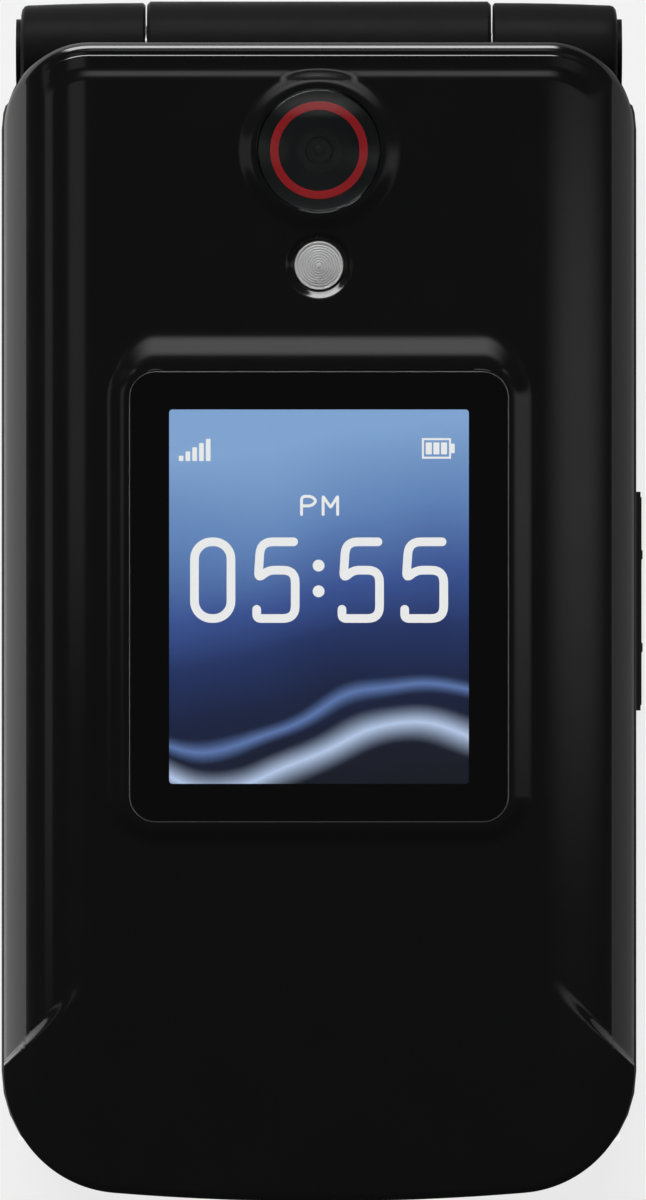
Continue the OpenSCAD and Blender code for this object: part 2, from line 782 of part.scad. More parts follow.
module lid_flex() color([0.75, 0.45, 0.12]) {
    difference() {
        on_axis(coil_low, coil_high, coil_r);
        on_axis(coil_low - 1, coil_high + 1, coil_r - lead_t);
    }
    block([coil_low + 0.3, coil_high - 0.3], [cover_y - 1, axis_y - 2.2],
        lid_z + plate_t + 0.25, lid_z + plate_t + 0.25 + lead_t);
    block([coil_low + 0.3, coil_high - 0.3], [cover_y - 1, cover_y - 1 + lead_t],
        lid_z + plate_t + 0.25, lid_board_low);
}

// ---- keys ----

function pad_at(i) = [(i % 3 - 1) * pitch_x, low_row_y + (3 - floor(i / 3)) * pitch_y];
function call_at(i) = [(i - 1) * pitch_x, call_y];
function soft_at(i) = [(2 * i - 1) * soft_x, pad_y - 0.6];

module key(w, h, at) {
    plate(w, h, key_corner_r, flange_high - slop, key_top, at);
    plate(w + 2 * flange_w, h + 2 * flange_w, key_corner_r, flange_low, flange_high, at);
    pillar(at, 1.2, plunger_low, flange_low + slop);
}

module pad_key(i) color([0.1, 0.1, 0.11]) key(key_w, key_h, pad_at(i));
module call_key(i) color([0.12, 0.12, 0.13]) key(key_w, call_h, call_at(i));
module soft_key(i) color([0.12, 0.12, 0.13]) key(soft_w, soft_h, soft_at(i));

module ok_key() color([0.14, 0.14, 0.15]) pillar([0, pad_y], ok_r, ok_flange_top, base_t);

// Rubber foot bonded under the middle key: its rim keeps the key behind the ring.
module ok_foot() color([0.3, 0.3, 0.3]) pillar([0, pad_y], ok_flange_r, plunger_low, ok_flange_top);

module direction_ring() color([0.1, 0.1, 0.11]) difference() {
    union() {
        pillar([0, pad_y], pad_r, pad_low, pad_top);
        pillar([0, pad_y], pad_flange_r, pad_low, pad_low + 0.2);
    }
    pillar([0, pad_y], ok_r + ok_gap, pad_low - 1, pad_top + 1);
    pillar([0, pad_y], ok_flange_r + 0.3, pad_low - 1, pad_low + 0.35);
}

// Ring that rocks about X on two feet, and carries the direction ring on two ridges along Y.
module direction_hub() color([0.3, 0.3, 0.3]) difference() {
    union() {
        pillar([0, pad_y], hub_out_r, hub_low, hub_high);
        intersection() {
            pillar([0, pad_y], hub_out_r, hub_low, pad_low);
            block([-0.5, 0.5], [pad_y - pad_r, pad_y + pad_r], hub_low, pad_low - fit);
        }
        intersection() {
            pillar([0, pad_y], hub_out_r, dome_z, hub_high);
            block([-pad_r, pad_r], [pad_y - 0.5, pad_y + 0.5], dome_z + dome_sheet_t + fit, hub_high);
        }
    }
    pillar([0, pad_y], hub_in_r, dome_z, pad_low + 1);
}

// Bar that fills a slot in the side wall, with a flange behind the wall and raised marks.
module side_bar(length, y, proud, marks) {
    h = side_key_h;
    block([base_half - wall - slop, base_half + proud - 0.2], [y - length / 2, y + length / 2],
        side_key_z - h / 2, side_key_z + h / 2);
    block([base_half - wall, base_half + proud - 0.1], [y - length / 2 + 0.5, y + length / 2 - 0.5],
        side_key_z - h / 2 + 0.4, side_key_z + h / 2 - 0.4);
    block([base_half - wall - 1.1, base_half - wall - 0.45],
        [y - length / 2 - side_flange, y + length / 2 + side_flange],
        side_key_z - h / 2 - 0.3, side_key_z + h / 2 + 0.3);
    block([base_half - wall - 0.6, base_half - wall + 0.1],
        [y - length / 2 + 1, y + length / 2 - 1], side_key_z - 1, side_key_z + 1);
    for (m = marks) block([base_half, base_half + proud], [y + m - 0.4, y + m + 0.4],
        side_key_z - 0.8, side_key_z + 0.8);
}

module volume_rocker() color([0.09, 0.09, 0.09])
    side_bar(rocker_l, rocker_y, rocker_proud, [-4.2, 4.2]);

module side_key() color([0.09, 0.09, 0.09]) mirror([1, 0, 0])
    side_bar(side_key_l, side_key_y, side_key_proud, [0]);

// ---- lid: shells ----

// Everything under the lid's arched face, whose flanks are rolled by arcs of one centre.
module arch_form(shrink) {
    mid = lid_half - lip - crown_r * sin(rim_tilt);
    right = arc(mid, face_z - crown_r, crown_r - shrink, 90 - rim_tilt, 90, crown_steps);
    translate([0, body_l, 0]) rotate([90, 0, 0]) linear_extrude(2 * body_l) polygon(concat(
        [[right[0].x, lid_z]], right,
        [for (i = [crown_steps:-1:0]) [-right[i].x, right[i].y]], [[-right[0].x, lid_z]]
    ));
}

// Prism on the cover's plan, its top edge rolled at the hinge end and the free end.
module rolled_form() {
    loft(concat(
        [[shell_low, lid_outline(lip, 0, 0)]],
        [for (a = [0:15:90]) [face_z + slop - edge_h * (1 - sin(a)),
            lid_outline(lip, hinge_roll * (1 - cos(a)), free_roll * (1 - cos(a)))]]
    ));
}

module window_surround() {
    loft([
        [face_z - 0.5, rounded(window_w + 2 * hump_w, window_h + 2 * hump_w, window_r + hump_w)],
        [face_z, rounded(window_w + 2 * hump_w, window_h + 2 * hump_w, window_r + hump_w)],
        [lid_top, rounded(window_w + 0.6, window_h + 0.6, window_r + 0.3)]
    ]);
}

module lid_outer_cover() color([0.03, 0.03, 0.03]) difference() {
    union() {
        difference() {
            intersection() {
                arch_form(0);
                rolled_form();
            }
            hollow() intersection() {
                arch_form(cover_wall);
                slab(lid_outline(wall, wall, wall), shell_low - 1, face_in + slop);
            }
        }
        translate([0, window_y, 0]) window_surround();
        translate([0, camera_y, face_z - 0.5])
            cylinder(r1 = camera_window_r + 1.6, r2 = camera_window_r + 0.5, h = hump_h + 0.5);
        intersection() {
            arch_form(wall / 2);
            for (at = lid_screws_at) pillar(at, boss_r - 0.2, shell_low, face_z);
        }
        pillar([0, flash_y], flash_r + 0.7, face_in - 0.4, face_z - 0.3);
    }
    plate(window_w + 2 * fit, window_h + 2 * fit, window_r + fit, window_low, lid_top + 1, [0, window_y]);
    plate(picture_w + 3.4, picture_h + 3.6, 0.6, face_in - 1, lid_top, [0, window_y]);
    pillar([0, camera_y], camera_window_r + fit, camera_low, lid_top + 1);
    pillar([0, camera_y], 3, face_in - 1, lid_top);
    pillar([0, flash_y], flash_r + fit, face_in - 1, lid_top);
    translate([0, flash_y, face_z - 0.5]) cylinder(r1 = flash_r, r2 = flash_r + 0.9, h = 0.55);
    for (at = lid_screws_at) pillar(at, screw_r + fit, shell_low - 1, lid_screw_tip + 0.2);
    on_axis(-body_w, body_w, swing_r);
}

module lid_inner_case() color([0.05, 0.05, 0.05]) difference() {
    union() {
        difference() {
            loft([
                [lid_z, lid_outline(0.6, 0.6, 0.6)], [lid_z + 0.6, lid_outline(0, 0, 0)],
                [lid_split - 0.7, lid_outline(0, 0, 0)], [lid_split, lid_outline(lip, 0, 0)]
            ]);
            hollow() slab(lid_outline(wall, wall, wall), lid_z + plate_t, lid_split + 1);
            on_axis(-body_w, body_w, swing_r);
        }
        for (at = lid_screws_at) pillar(at, boss_r + 0.1, lid_z + plate_t - slop, lid_split);
        intersection() {
            on_axis(-barrel_half, barrel_half, swing_r);
            block([-barrel_half, barrel_half], [axis_y - barrel_r - 1, axis_y], lid_z, lid_split);
        }
        turned(barrel_section());
    }
    plate(lens_w + 2 * fit, lens_h + 2 * fit, 2.4, lid_z - 1, ledge_z, [0, lens_y]);
    plate(main_picture_w + 1.6, main_picture_h + 1.6, 0.6, lid_z, lid_split, [0, main_picture_y()]);
    plate(12, 2.2, 1, lid_z, lid_z + plate_t + 1, [0, earpiece_y()]);
    for (at = lid_screws_at) {
        pillar(at, screw_r + fit, lid_z, lid_split + 1);
        pillar(at, bumper_r + fit, lid_z - 1, bumper_high);
        pillar(at, screw_head_r + 0.1, lid_z - 1, lid_screw_head_z + screw_head_h + fit);
    }
    on_axis(can_low - 0.2, barrel_half + 1, can_r + fit);
    on_axis(-barrel_half - 1, coil_low - 0.9, bush_r + run_gap);
    on_axis(coil_low - 1, coil_high + 0.6, coil_r + 0.5);
    block([coil_low, coil_high], [axis_y - 9, axis_y], lid_z + plate_t + fit, lid_z + plate_t + 0.6);
}

// ---- lid: what it carries ----

function main_picture_y() = lens_y - 1.2;
function earpiece_y() = lens_y - lens_h / 2 + 3.4;

module cover_window() color([0.02, 0.02, 0.03])
    plate(window_w, window_h, window_r, window_low, window_top, [0, window_y]);

module cover_display() color([0.35, 0.5, 0.8])
    plate(picture_w + 3, picture_h + 3.2, 0.5, cover_display_low, cover_display_high, [0, window_y + 0.2]);

module main_window() color([0.02, 0.02, 0.03]) difference() {
    plate(lens_w, lens_h, 2.3, lens_low, lens_high, [0, lens_y]);
    plate(9, 1.1, 0.5, lens_low - 1, lens_high + 1, [0, earpiece_y()]);
}

module main_display() color([0.1, 0.1, 0.12])
    plate(main_picture_w + 3, main_picture_h + 6.4, 0.5, display_low, display_low + display_t,
        [0, main_picture_y() + 1.6]);

module lid_board() color([0.05, 0.25, 0.12]) {
    top = lid_board_low + lid_board_t;
    difference() {
        block([-19, 19], [window_y - 24, axis_y - trough_r - 0.3], lid_board_low, top);
        block([-4.3, 4.3], [camera_y - 4.3, axis_y], lid_board_low - 1, lid_board_low + 2);
        for (at = lid_screws_at) pillar(at, boss_r + 0.2, lid_board_low - 1, lid_board_low + 2);
    }
    block([-1.3, 1.3], [flash_y - 1.3, flash_y + 1.3], top, face_in + 0.3);
    block([-16, -9], [flash_y - 4, flash_y + 3], top, top + 0.9);
}

module camera_window() color([0.02, 0.02, 0.02])
    pillar([0, camera_y], camera_window_r, ring_high + 0.01, lid_top - 0.05);

module camera_ring() color([0.8, 0.08, 0.1]) difference() {
    pillar([0, camera_y], ring_outer_r, camera_low, ring_high);
    pillar([0, camera_y], ring_inner_r, camera_low - 1, ring_high + 1);
}

module camera_module() color([0.08, 0.08, 0.09]) {
    half = 3.9;
    block([-half, half], [camera_y - half, axis_y - trough_r - 0.15], lid_board_low - 0.9, face_in - 0.35);
    difference() {
        pillar([0, camera_y], 2.7, face_in - 0.4, camera_low - 0.1);
        translate([0, 0, camera_low - 0.6]) pillar([0, camera_y], 1.3, 0, 1);
    }
    pillar([0, camera_y], 1.25, camera_low - 0.7, camera_low - 0.4);
}

module flash_lens() color([0.9, 0.9, 0.88]) pillar([0, flash_y], flash_r, face_in + 0.35, face_z - 0.15);

module earpiece() color([0.2, 0.2, 0.21])
    plate(13, 5, 1.4, display_low, display_low + 2.2, [0, earpiece_y() - 0.4]);

module lid_bumpers() color([0.09, 0.09, 0.09])
    for (at = lid_screws_at) pillar(at, bumper_r, bumper_low, bumper_high);

module lid_screws() color([0.7, 0.7, 0.72])
    for (at = lid_screws_at) screw(at, lid_screw_head_z, lid_screw_tip);

// ---- nodes ----

base_front_case();
base_rear_case();
battery_cover();
battery();
battery_contacts();
main_board();
dome_sheet();
card_socket();
headset_jack();
charging_port();
loudspeaker();
vibration_motor();
vibrator_weight();
main_antenna();
shield_can();
base_screws();
hinge_caps();
hinge_cam_shaft();
hinge_bush();
base_flex();
for (i = [0:11]) pad_key(i);
for (i = [0:2]) call_key(i);
for (i = [0:1]) soft_key(i);
ok_key();
ok_foot();
direction_ring();
direction_hub();
volume_rocker();
side_key();
lid_outer_cover();
lid_inner_case();
cover_window();
cover_display();
main_window();
main_display();
lid_board();
camera_window();
camera_ring();
camera_module();
flash_lens();
earpiece();
lid_bumpers();
lid_screws();
hinge_cartridge();
hinge_spring();
lid_flex();
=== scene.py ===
import math

import bpy
import numpy as np
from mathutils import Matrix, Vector
from mathutils.geometry import delaunay_2d_cdt

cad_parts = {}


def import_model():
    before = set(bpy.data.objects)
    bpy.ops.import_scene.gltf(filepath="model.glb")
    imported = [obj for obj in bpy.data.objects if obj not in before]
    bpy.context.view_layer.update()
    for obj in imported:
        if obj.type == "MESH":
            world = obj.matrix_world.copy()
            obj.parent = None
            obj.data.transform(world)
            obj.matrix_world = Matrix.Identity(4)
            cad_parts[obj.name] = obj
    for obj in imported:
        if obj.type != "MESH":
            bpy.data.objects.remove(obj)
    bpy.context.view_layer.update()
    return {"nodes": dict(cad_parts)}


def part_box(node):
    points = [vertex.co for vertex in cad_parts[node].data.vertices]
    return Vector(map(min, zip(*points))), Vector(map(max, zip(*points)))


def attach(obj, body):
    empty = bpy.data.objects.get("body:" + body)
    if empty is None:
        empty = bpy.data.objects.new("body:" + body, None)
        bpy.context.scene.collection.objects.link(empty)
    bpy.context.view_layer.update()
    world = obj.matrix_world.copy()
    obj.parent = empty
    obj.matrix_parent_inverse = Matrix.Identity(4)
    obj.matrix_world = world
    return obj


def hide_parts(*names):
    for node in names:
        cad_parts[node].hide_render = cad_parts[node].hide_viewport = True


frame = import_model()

# Flip phone, shut, seen from straight above its lid. Lengths are millimetres in the phone's own frame
# until a mesh is made, and UNIT turns them into metres.
UNIT = 0.001


def corners_of(node):
    """Lowest and highest corner of a CAD node, in millimetres."""
    low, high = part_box(node)
    return np.array(low) / UNIT, np.array(high) / UNIT


# ---- sizes ----

cover_low, cover_high = corners_of("lid_outer_cover")
glass_low, glass_high = corners_of("cover_window")
camera_low, camera_high = corners_of("camera_window")
flash_low, flash_high = corners_of("flash_lens")
ring_low, ring_high = corners_of("camera_ring")

# lid
cover_half = cover_high[0]
free_y = cover_low[1]
lid_end = cover_high[1]
lid_top = cover_high[2]
shell_low = cover_low[2]
HUMP_H = 0.45                 # height of the raised surrounds
face_z = lid_top - HUMP_H
SIDE_ROLL = 0.3               # rounded rim of the flanks, its width and its drop
SIDE_ROLL_H = 0.2
HINGE_CORNER_R = 7.7
FREE_CORNER_R = 10.8
FREE_BOW_R = 223
RIM_TILT = math.radians(65)   # slope of the flanks at their rim
crown_r = (face_z - shell_low - SIDE_ROLL_H) / (1 - math.cos(RIM_TILT))
crown_mid = cover_half - crown_r * math.sin(RIM_TILT)
HINGE_ROLL = 0.9              # rounded rim along the hinge end, its width and its drop
ROLL_H = 0.9
FREE_ROLL = 0.8               # and round the chin, its width and its slope, in degrees
FREE_ROLL_SLOPES = (18, 42)   # beside the flanks and at the free end
COVER_WALL = 1.1
CHIN_TILT = math.radians(40)  # slope of the flanks at their rim beside the free end
chin_r = (cover_half - crown_mid) / math.sin(CHIN_TILT)
CHIN_RIM_Y = -41.7            # where the steep flanks end, at their rim
CHIN_Y = -34.7                # and where that line levels out over the face
CHIN_BLEND = 0.42             # width of the step at the rim
CHIN_SPREAD = 0.2             # how much wider it gets for each millimetre inwards
CHIN_FALL = 0.35              # how far the face falls towards the free end

# hinge
BARREL_R = 4.7
SWING_R = 5.0                 # groove in the lid's underside, over the barrel
TROUGH_R = 5.8                # and the room inside the lid that ends beside it
axis_y = corners_of("base_front_case")[1][1] - BARREL_R
axis_z = 10.75

# cover display: its glass, the lit picture under it, and the raised surround
window_w, window_h = (glass_high - glass_low)[:2]
window_y = (glass_high + glass_low)[1] / 2
WINDOW_R = 2.4
PICTURE_W = 26.9
PICTURE_H = 33.6
PICTURE_HOLE = (PICTURE_W + 3.4, PICTURE_H + 3.6)     # opening in the lid under the glass
HUMP_W = 2.1
HUMP_TOP_W = 3.9              # wider slope on the hinge side of the window

# camera and flash
camera_y = (camera_high + camera_low)[1] / 2
camera_r = camera_high[0]
CAMERA_HOLE_R = 3
flash_y = (flash_high + flash_low)[1] / 2
flash_r = flash_high[0]


# ---- node trees ----

def wire(tree, socket, value):
    """Links a socket, or sets it where value is a plain number or colour."""
    if isinstance(value, bpy.types.NodeSocket):
        tree.links.new(value, socket)
    else:
        socket.default_value = value


def add(tree, kind, settings=None, **inputs):
    """New node with its settings and inputs. An input's name has _ for each space."""
    node = tree.nodes.new("ShaderNode" + kind)
    for name, value in (settings or {}).items():
        setattr(node, name, value)
    for name, value in inputs.items():
        wire(tree, node.inputs[name.replace("_", " ")], value)
    return node


def math_of(tree, operation, *values):
    node = tree.nodes.new("ShaderNodeMath")
    node.operation = operation
    for socket, value in zip(node.inputs, values):
        wire(tree, socket, value)
    return node.outputs[0]


def place(tree):
    """The point's place in the phone's frame, in metres."""
    return add(tree, "TexCoord").outputs["Object"]


def place_split(tree):
    """The same place as three numbers, in the outputs X, Y and Z."""
    return add(tree, "SeparateXYZ", Vector=place(tree))


def noise(tree, size, detail=2.0, rough=0.5, at=None):
    """Noise whose features are about size millimetres across."""
    scale = 1 / (size * UNIT)
    node = add(tree, "TexNoise", Vector=at or place(tree), Scale=scale, Detail=detail, Roughness=rough)
    return node.outputs["Fac"]


def remap(tree, value, low, high, to_low=0.0, to_high=1.0):
    node = add(tree, "MapRange", Value=value, From_Min=low, From_Max=high, To_Min=to_low, To_Max=to_high)
    return node.outputs["Result"]


MIX_SHARE, MIX_A, MIX_B, MIX_RESULT = 0, 6, 7, 2      # a colour mix node's sockets


def grey(tone):
    return (tone, tone, tone)


def blend_colours(tree, share, a, b):
    node = tree.nodes.new("ShaderNodeMix")
    node.data_type = "RGBA"
    wire(tree, node.inputs[MIX_SHARE], share)
    wire(tree, node.inputs[MIX_A], (*a, 1) if isinstance(a, tuple) else a)
    wire(tree, node.inputs[MIX_B], (*b, 1) if isinstance(b, tuple) else b)
    return node.outputs[MIX_RESULT]


def base_colour(tree, shader, share, a, b):
    """Sets the shader's colour to a blend of two."""
    wire(tree, shader.inputs["Base Color"], blend_colours(tree, share, a, b))


def roughness(tree, shader, value, rough, spread):
    """Lets the shader's roughness swing by spread either way with a noise."""
    wire(tree, shader.inputs["Roughness"], remap(tree, value, 0.3, 0.7, rough - spread, rough + spread))


def bump(tree, height, depth):
    """Normal for a height between 0 and 1 that stands depth millimetres high."""
    return add(tree, "Bump", Height=height, Distance=depth * UNIT).outputs["Normal"]


def material(name, **sockets):
    """Principled material, its tree and its shader node."""
    mat = bpy.data.materials.new(name)
    mat.use_nodes = True
    shader = mat.node_tree.nodes["Principled BSDF"]
    for socket, value in sockets.items():
        shader.inputs[socket.replace("_", " ")].default_value = value
    return mat, mat.node_tree, shader


# ---- materials ----

def gloss_black():
    """Lacquered black: a deep clear coat with a faint orange peel and dust."""
    mat, tree, shader = material(
        "gloss_black", Coat_Weight=1.0, Coat_Roughness=0.03, Coat_IOR=1.6, IOR=1.45)
    dust = remap(tree, noise(tree, 0.25, 3, 0.6), 0.70, 0.80)
    base_colour(tree, shader, dust, (0.0035, 0.0036, 0.004), grey(0.012))
    roughness(tree, shader, noise(tree, 6, 3), 0.19, 0.03)
    peel = bump(tree, noise(tree, 2.2, 1), 0.0012)
    wire(tree, shader.inputs["Normal"], peel)
    wire(tree, shader.inputs["Coat Normal"], peel)
    return mat


def soft_touch(name, tone, rough, shine=0.015):
    """Rubbery matt paint with a fine even grain."""
    mat, tree, shader = material(
        name, Specular_IOR_Level=shine, Sheen_Weight=0.2, Sheen_Roughness=0.2)
    base_colour(tree, shader, noise(tree, 1.8, 3), grey(tone * 0.85), grey(tone * 1.15))
    roughness(tree, shader, noise(tree, 5, 2), rough, 0.04)
    wire(tree, shader.inputs["Normal"], bump(tree, noise(tree, 0.11, 2), 0.006))
    return mat


def shade_of(tone, tint):
    return tuple(tone * t for t in tint)


def gloss_print(name="window_print", tone=0.0045, tint=(1.0, 1.0, 1.0)):
    """Dark print or panel seen through the glass that covers it."""
    mat, tree, shader = material(name, IOR=1.5)
    mottle = noise(tree, 3, 2)
    base_colour(tree, shader, mottle, shade_of(tone * 0.9, tint), shade_of(tone * 1.1, tint))
    roughness(tree, shader, mottle, 0.035, 0.015)
    return mat


def satin(name, tone, rough, tint=(1.0, 1.0, 1.0)):
    """Moulded plastic with a faint fine grain."""
    mat, tree, shader = material(name, Coat_Weight=0.1, Coat_Roughness=0.2)
    grain = noise(tree, 0.16, 1)
    base_colour(tree, shader, grain, shade_of(tone * 0.92, tint), shade_of(tone * 1.08, tint))
    roughness(tree, shader, noise(tree, 3, 1), rough, 0.02)
    wire(tree, shader.inputs["Normal"], bump(tree, grain, 0.0006))
    return mat


def metal(name, colour, rough, along):
    """Ground or plated metal, brushed along one axis."""
    mat, tree, shader = material(name, Metallic=1.0)
    stretch = [60.0, 60.0, 60.0]
    stretch["XYZ".index(along)] = 3.0
    mapping = add(tree, "Mapping", Vector=place(tree), Scale=tuple(stretch))
    lines = noise(tree, 20, 3, 0.6, mapping.outputs["Vector"])
    base_colour(tree, shader, lines, shade_of(0.8, colour), colour)
    roughness(tree, shader, lines, rough, 0.08)
    wire(tree, shader.inputs["Normal"], bump(tree, lines, 0.002))
    return mat


def clear_glass(name, colour):
    """Clear window, a little smeared."""
    mat, tree, shader = material(
        name, Base_Color=(*colour, 1), Transmission_Weight=1.0, IOR=1.49)
    wire(tree, shader.inputs["Roughness"], remap(tree, noise(tree, 8, 2), 0.4, 0.8, 0.0, 0.02))
    return mat


def board():
    """Lacquered circuit board with its traces showing under the mask."""
    mat, tree, shader = material("circuit_board", Coat_Weight=0.6, Coat_Roughness=0.15)
    at = add(tree, "Mapping", Vector=place(tree), Rotation=(0, 0, math.radians(45)))
    cells = add(tree, "TexVoronoi", {"distance": "CHEBYCHEV", "feature": "F1"},
                Vector=at.outputs["Vector"], Scale=1 / (1.6 * UNIT))
    traces = remap(tree, cells.outputs["Distance"], 0.38, 0.42)
    base_colour(tree, shader, traces, (0.012, 0.09, 0.035), (0.03, 0.17, 0.07))
    roughness(tree, shader, noise(tree, 2, 2), 0.375, 0.075)
    wire(tree, shader.inputs["Normal"], bump(tree, traces, 0.02))
    return mat


def picture():
    """Generic wallpaper: a fall of blues with two soft bands of light, glowing by itself."""
    mat, tree, shader = material("cover_picture", Base_Color=(0.0, 0.0, 0.0, 1), Roughness=0.35)
    split = place_split(tree)
    x, y = split.outputs["X"], split.outputs["Y"]
    low, high = (window_y - PICTURE_H / 2) * UNIT, (window_y + PICTURE_H / 2) * UNIT
    drift = math_of(tree, "MULTIPLY", noise(tree, 16, 1), 0.006)
    sway = math_of(tree, "MULTIPLY", math_of(tree, "SINE", math_of(tree, "MULTIPLY", x, 150)), 0.0022)
    fall = remap(tree, math_of(tree, "ADD", math_of(tree, "SUBTRACT", y, sway), drift), low, high)
    ramp = tree.nodes.new("ShaderNodeValToRGB")
    wire(tree, ramp.inputs[0], fall)
    stops = [
        (0.0, (0.007, 0.008, 0.012)), (0.12, (0.009, 0.011, 0.022)), (0.3, (0.010, 0.017, 0.055)),
        (0.47, (0.018, 0.035, 0.13)), (0.6, (0.045, 0.09, 0.30)), (0.78, (0.13, 0.25, 0.52)),
        (1.0, (0.235, 0.40, 0.68))
    ]
    ramp.color_ramp.elements[0].position = stops[0][0]
    ramp.color_ramp.elements[0].color = (*stops[0][1], 1)
    ramp.color_ramp.elements[1].position = stops[-1][0]
    ramp.color_ramp.elements[1].color = (*stops[-1][1], 1)
    for where, colour in stops[1:-1]:
        ramp.color_ramp.elements.new(where).color = (*colour, 1)
    colour = ramp.outputs[0]
    # the bands: their height in the picture, half their width, their colour and how tightly they wave
    bands = [(0.155, 0.056, (0.50, 0.62, 0.86), 240), (0.26, 0.032, (0.12, 0.2, 0.45), 190)]
    for centre, reach, lift, bend in bands:
        crest = math_of(tree, "MULTIPLY", math_of(tree, "SINE", math_of(tree, "MULTIPLY", x, bend)), 0.035)
        above = math_of(tree, "SUBTRACT", math_of(tree, "SUBTRACT", fall, centre), crest)
        nearness = remap(tree, math_of(tree, "ABSOLUTE", above), 0.0, reach, 1.0, 0.0)
        colour = blend_colours(tree, math_of(tree, "POWER", nearness, 1.6), colour, lift)
    wire(tree, shader.inputs["Emission Color"], colour)
    shader.inputs["Emission Strength"].default_value = 1.0
    return mat


def glow(name, colour, strength):
    """Lit mark of the display: its light varies a little across its dots."""
    mat, tree, shader = material(name, Base_Color=(0.0, 0.0, 0.0, 1), Roughness=0.4)
    dots = noise(tree, 0.3, 0)
    wire(tree, shader.inputs["Emission Color"], blend_colours(tree, dots, shade_of(0.97, colour), colour))
    shader.inputs["Emission Strength"].default_value = strength
    return mat


GLOSS = gloss_black()
SOFT = soft_touch("soft_touch_black", 0.011, 0.36, 0.03)
KEY = satin("key_black", 0.016, 0.3)
SIDE = satin("side_key_black", 0.03, 0.3)
MOULDED = satin("moulded_black", 0.02, 0.5)
FILM = satin("film", 0.7, 0.35, (1.0, 1.0, 0.94))
LEAD = satin("lead", 0.4, 0.35, (1.2, 0.6, 0.12))
WRAP = satin("battery_wrap", 0.07, 0.45, (0.9, 1.0, 1.15))
RUBBER = soft_touch("bumper_rubber", 0.03, 0.7)
STEEL = metal("plated_steel", (0.62, 0.62, 0.63), 0.25, "X")
HINGE_STEEL = metal("hinge_steel", (0.5, 0.5, 0.51), 0.32, "X")
TUNGSTEN = metal("tungsten", (0.35, 0.35, 0.36), 0.45, "Z")
BOARD = board()
GLASS = clear_glass("window_glass", (0.97, 0.98, 0.98))
CAMERA_GLASS = clear_glass("camera_glass", (0.95, 0.98, 0.98))
PRINT = gloss_print()
EDGE = satin("glass_edge", 0.2, 0.3)
TEAL = satin("camera_print", 0.007, 0.35, (0.35, 1.1, 1.2))
RED = satin("ring_red", 0.92, 0.35, (1.0, 0.016, 0.028))
LEGEND = satin("legend_white", 0.7, 0.5)
GREEN = satin("legend_green", 0.3, 0.5, (0.1, 1.0, 0.25))
LENS = satin("lens_black", 0.02, 0.3)
FLASH = satin("flash_clear", 0.72, 0.2)
PICTURE = picture()
LIT = glow("lit_white", (1.0, 1.0, 1.0), 0.9)
DARK_PANEL = gloss_print("dark_panel", 0.03, (0.8, 0.9, 1.15))


# ---- meshes ----

class Skin:
    """Points and faces of one piece. A face has a material index and may have a normal at each corner."""

    def __init__(self):
        self.points = []
        self.faces = []
        self.normals = []
        self.slots = []

    def add(self, points):
        first = len(self.points)
        self.points += [tuple(map(float, p)) for p in points]
        return list(range(first, len(self.points)))

    def face(self, corners, normals=None, slot=0):
        self.faces.append(list(corners))
        self.normals += [(0, 0, 0)] * len(corners) if normals is None else list(normals)
        self.slots.append(slot)

    def strip(self, low, high, normals=None, slot=0, closed=True):
        """Band between two rows of as many points. normals holds one for each point of a row."""
        count = len(low) if closed else len(low) - 1
        for i in range(count):
            j = (i + 1) % len(low)
            bend = None if normals is None else (normals[i], normals[j], normals[j], normals[i])
            self.face((low[i], low[j], high[j], high[i]), bend, slot)

    def fan(self, ring, centre):
        for i, a in enumerate(ring):
            self.face((a, ring[(i + 1) % len(ring)], centre))

    def build(self, name, materials, body, stands_for=(), crease=38):
        mesh = bpy.data.meshes.new(name)
        mesh.from_pydata([tuple(c * UNIT for c in p) for p in self.points], [], self.faces)
        for mat in materials:
            mesh.materials.append(mat)
        mesh.polygons.foreach_set("material_index", self.slots)
        mesh.shade_smooth()
        mesh.set_sharp_from_angle(angle=math.radians(crease))
        if any(n != (0, 0, 0) for n in self.normals):
            mesh.normals_split_custom_set(self.normals)
        mesh.validate()
        piece = bpy.data.objects.new(name, mesh)
        bpy.context.scene.collection.objects.link(piece)
        if stands_for:
            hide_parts(*stands_for)
        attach(piece, body)
        return piece


def arc(cx, cy, r, start, end, steps):
    """Points on an arc, angles in degrees, both ends included."""
    angles = np.radians(np.linspace(start, end, steps + 1))
    return [(cx + r * math.cos(a), cy + r * math.sin(a)) for a in angles]


def rounded(w, h, r, at=(0, 0), steps=10, flats=1):
    """Rounded rectangle, anticlockwise. Each straight side has flats stretches."""
    corner = [(1, 1, 0), (-1, 1, 90), (-1, -1, 180), (1, -1, 270)]
    arcs = [
        arc(at[0] + sx * (w / 2 - r), at[1] + sy * (h / 2 - r), r, a, a + 90, steps) for sx, sy, a in corner
    ]
    points = []
    for k, part in enumerate(arcs):
        nxt = arcs[(k + 1) % 4][0]
        points += part
        for i in range(1, flats):
            t = i / flats
            points.append((part[-1][0] * (1 - t) + nxt[0] * t, part[-1][1] * (1 - t) + nxt[1] * t))
    return points


def circle(r, at, count):
    return [(at[0] + r * math.cos(2 * math.pi * i / count), at[1] + r * math.sin(2 * math.pi * i / count))
            for i in range(count)]


def stack(skin, rings, side_slot=0, cap_high=True):
    """Skin over rings of equal count, each (height, points), lowest first."""
    rows = [skin.add([(x, y, z) for x, y in points]) for z, points in rings]
    for low, high in zip(rows, rows[1:]):
        skin.strip(low, high, slot=side_slot)
    skin.face(rows[0][::-1])
    if cap_high:
        skin.face(rows[-1])
    return rows


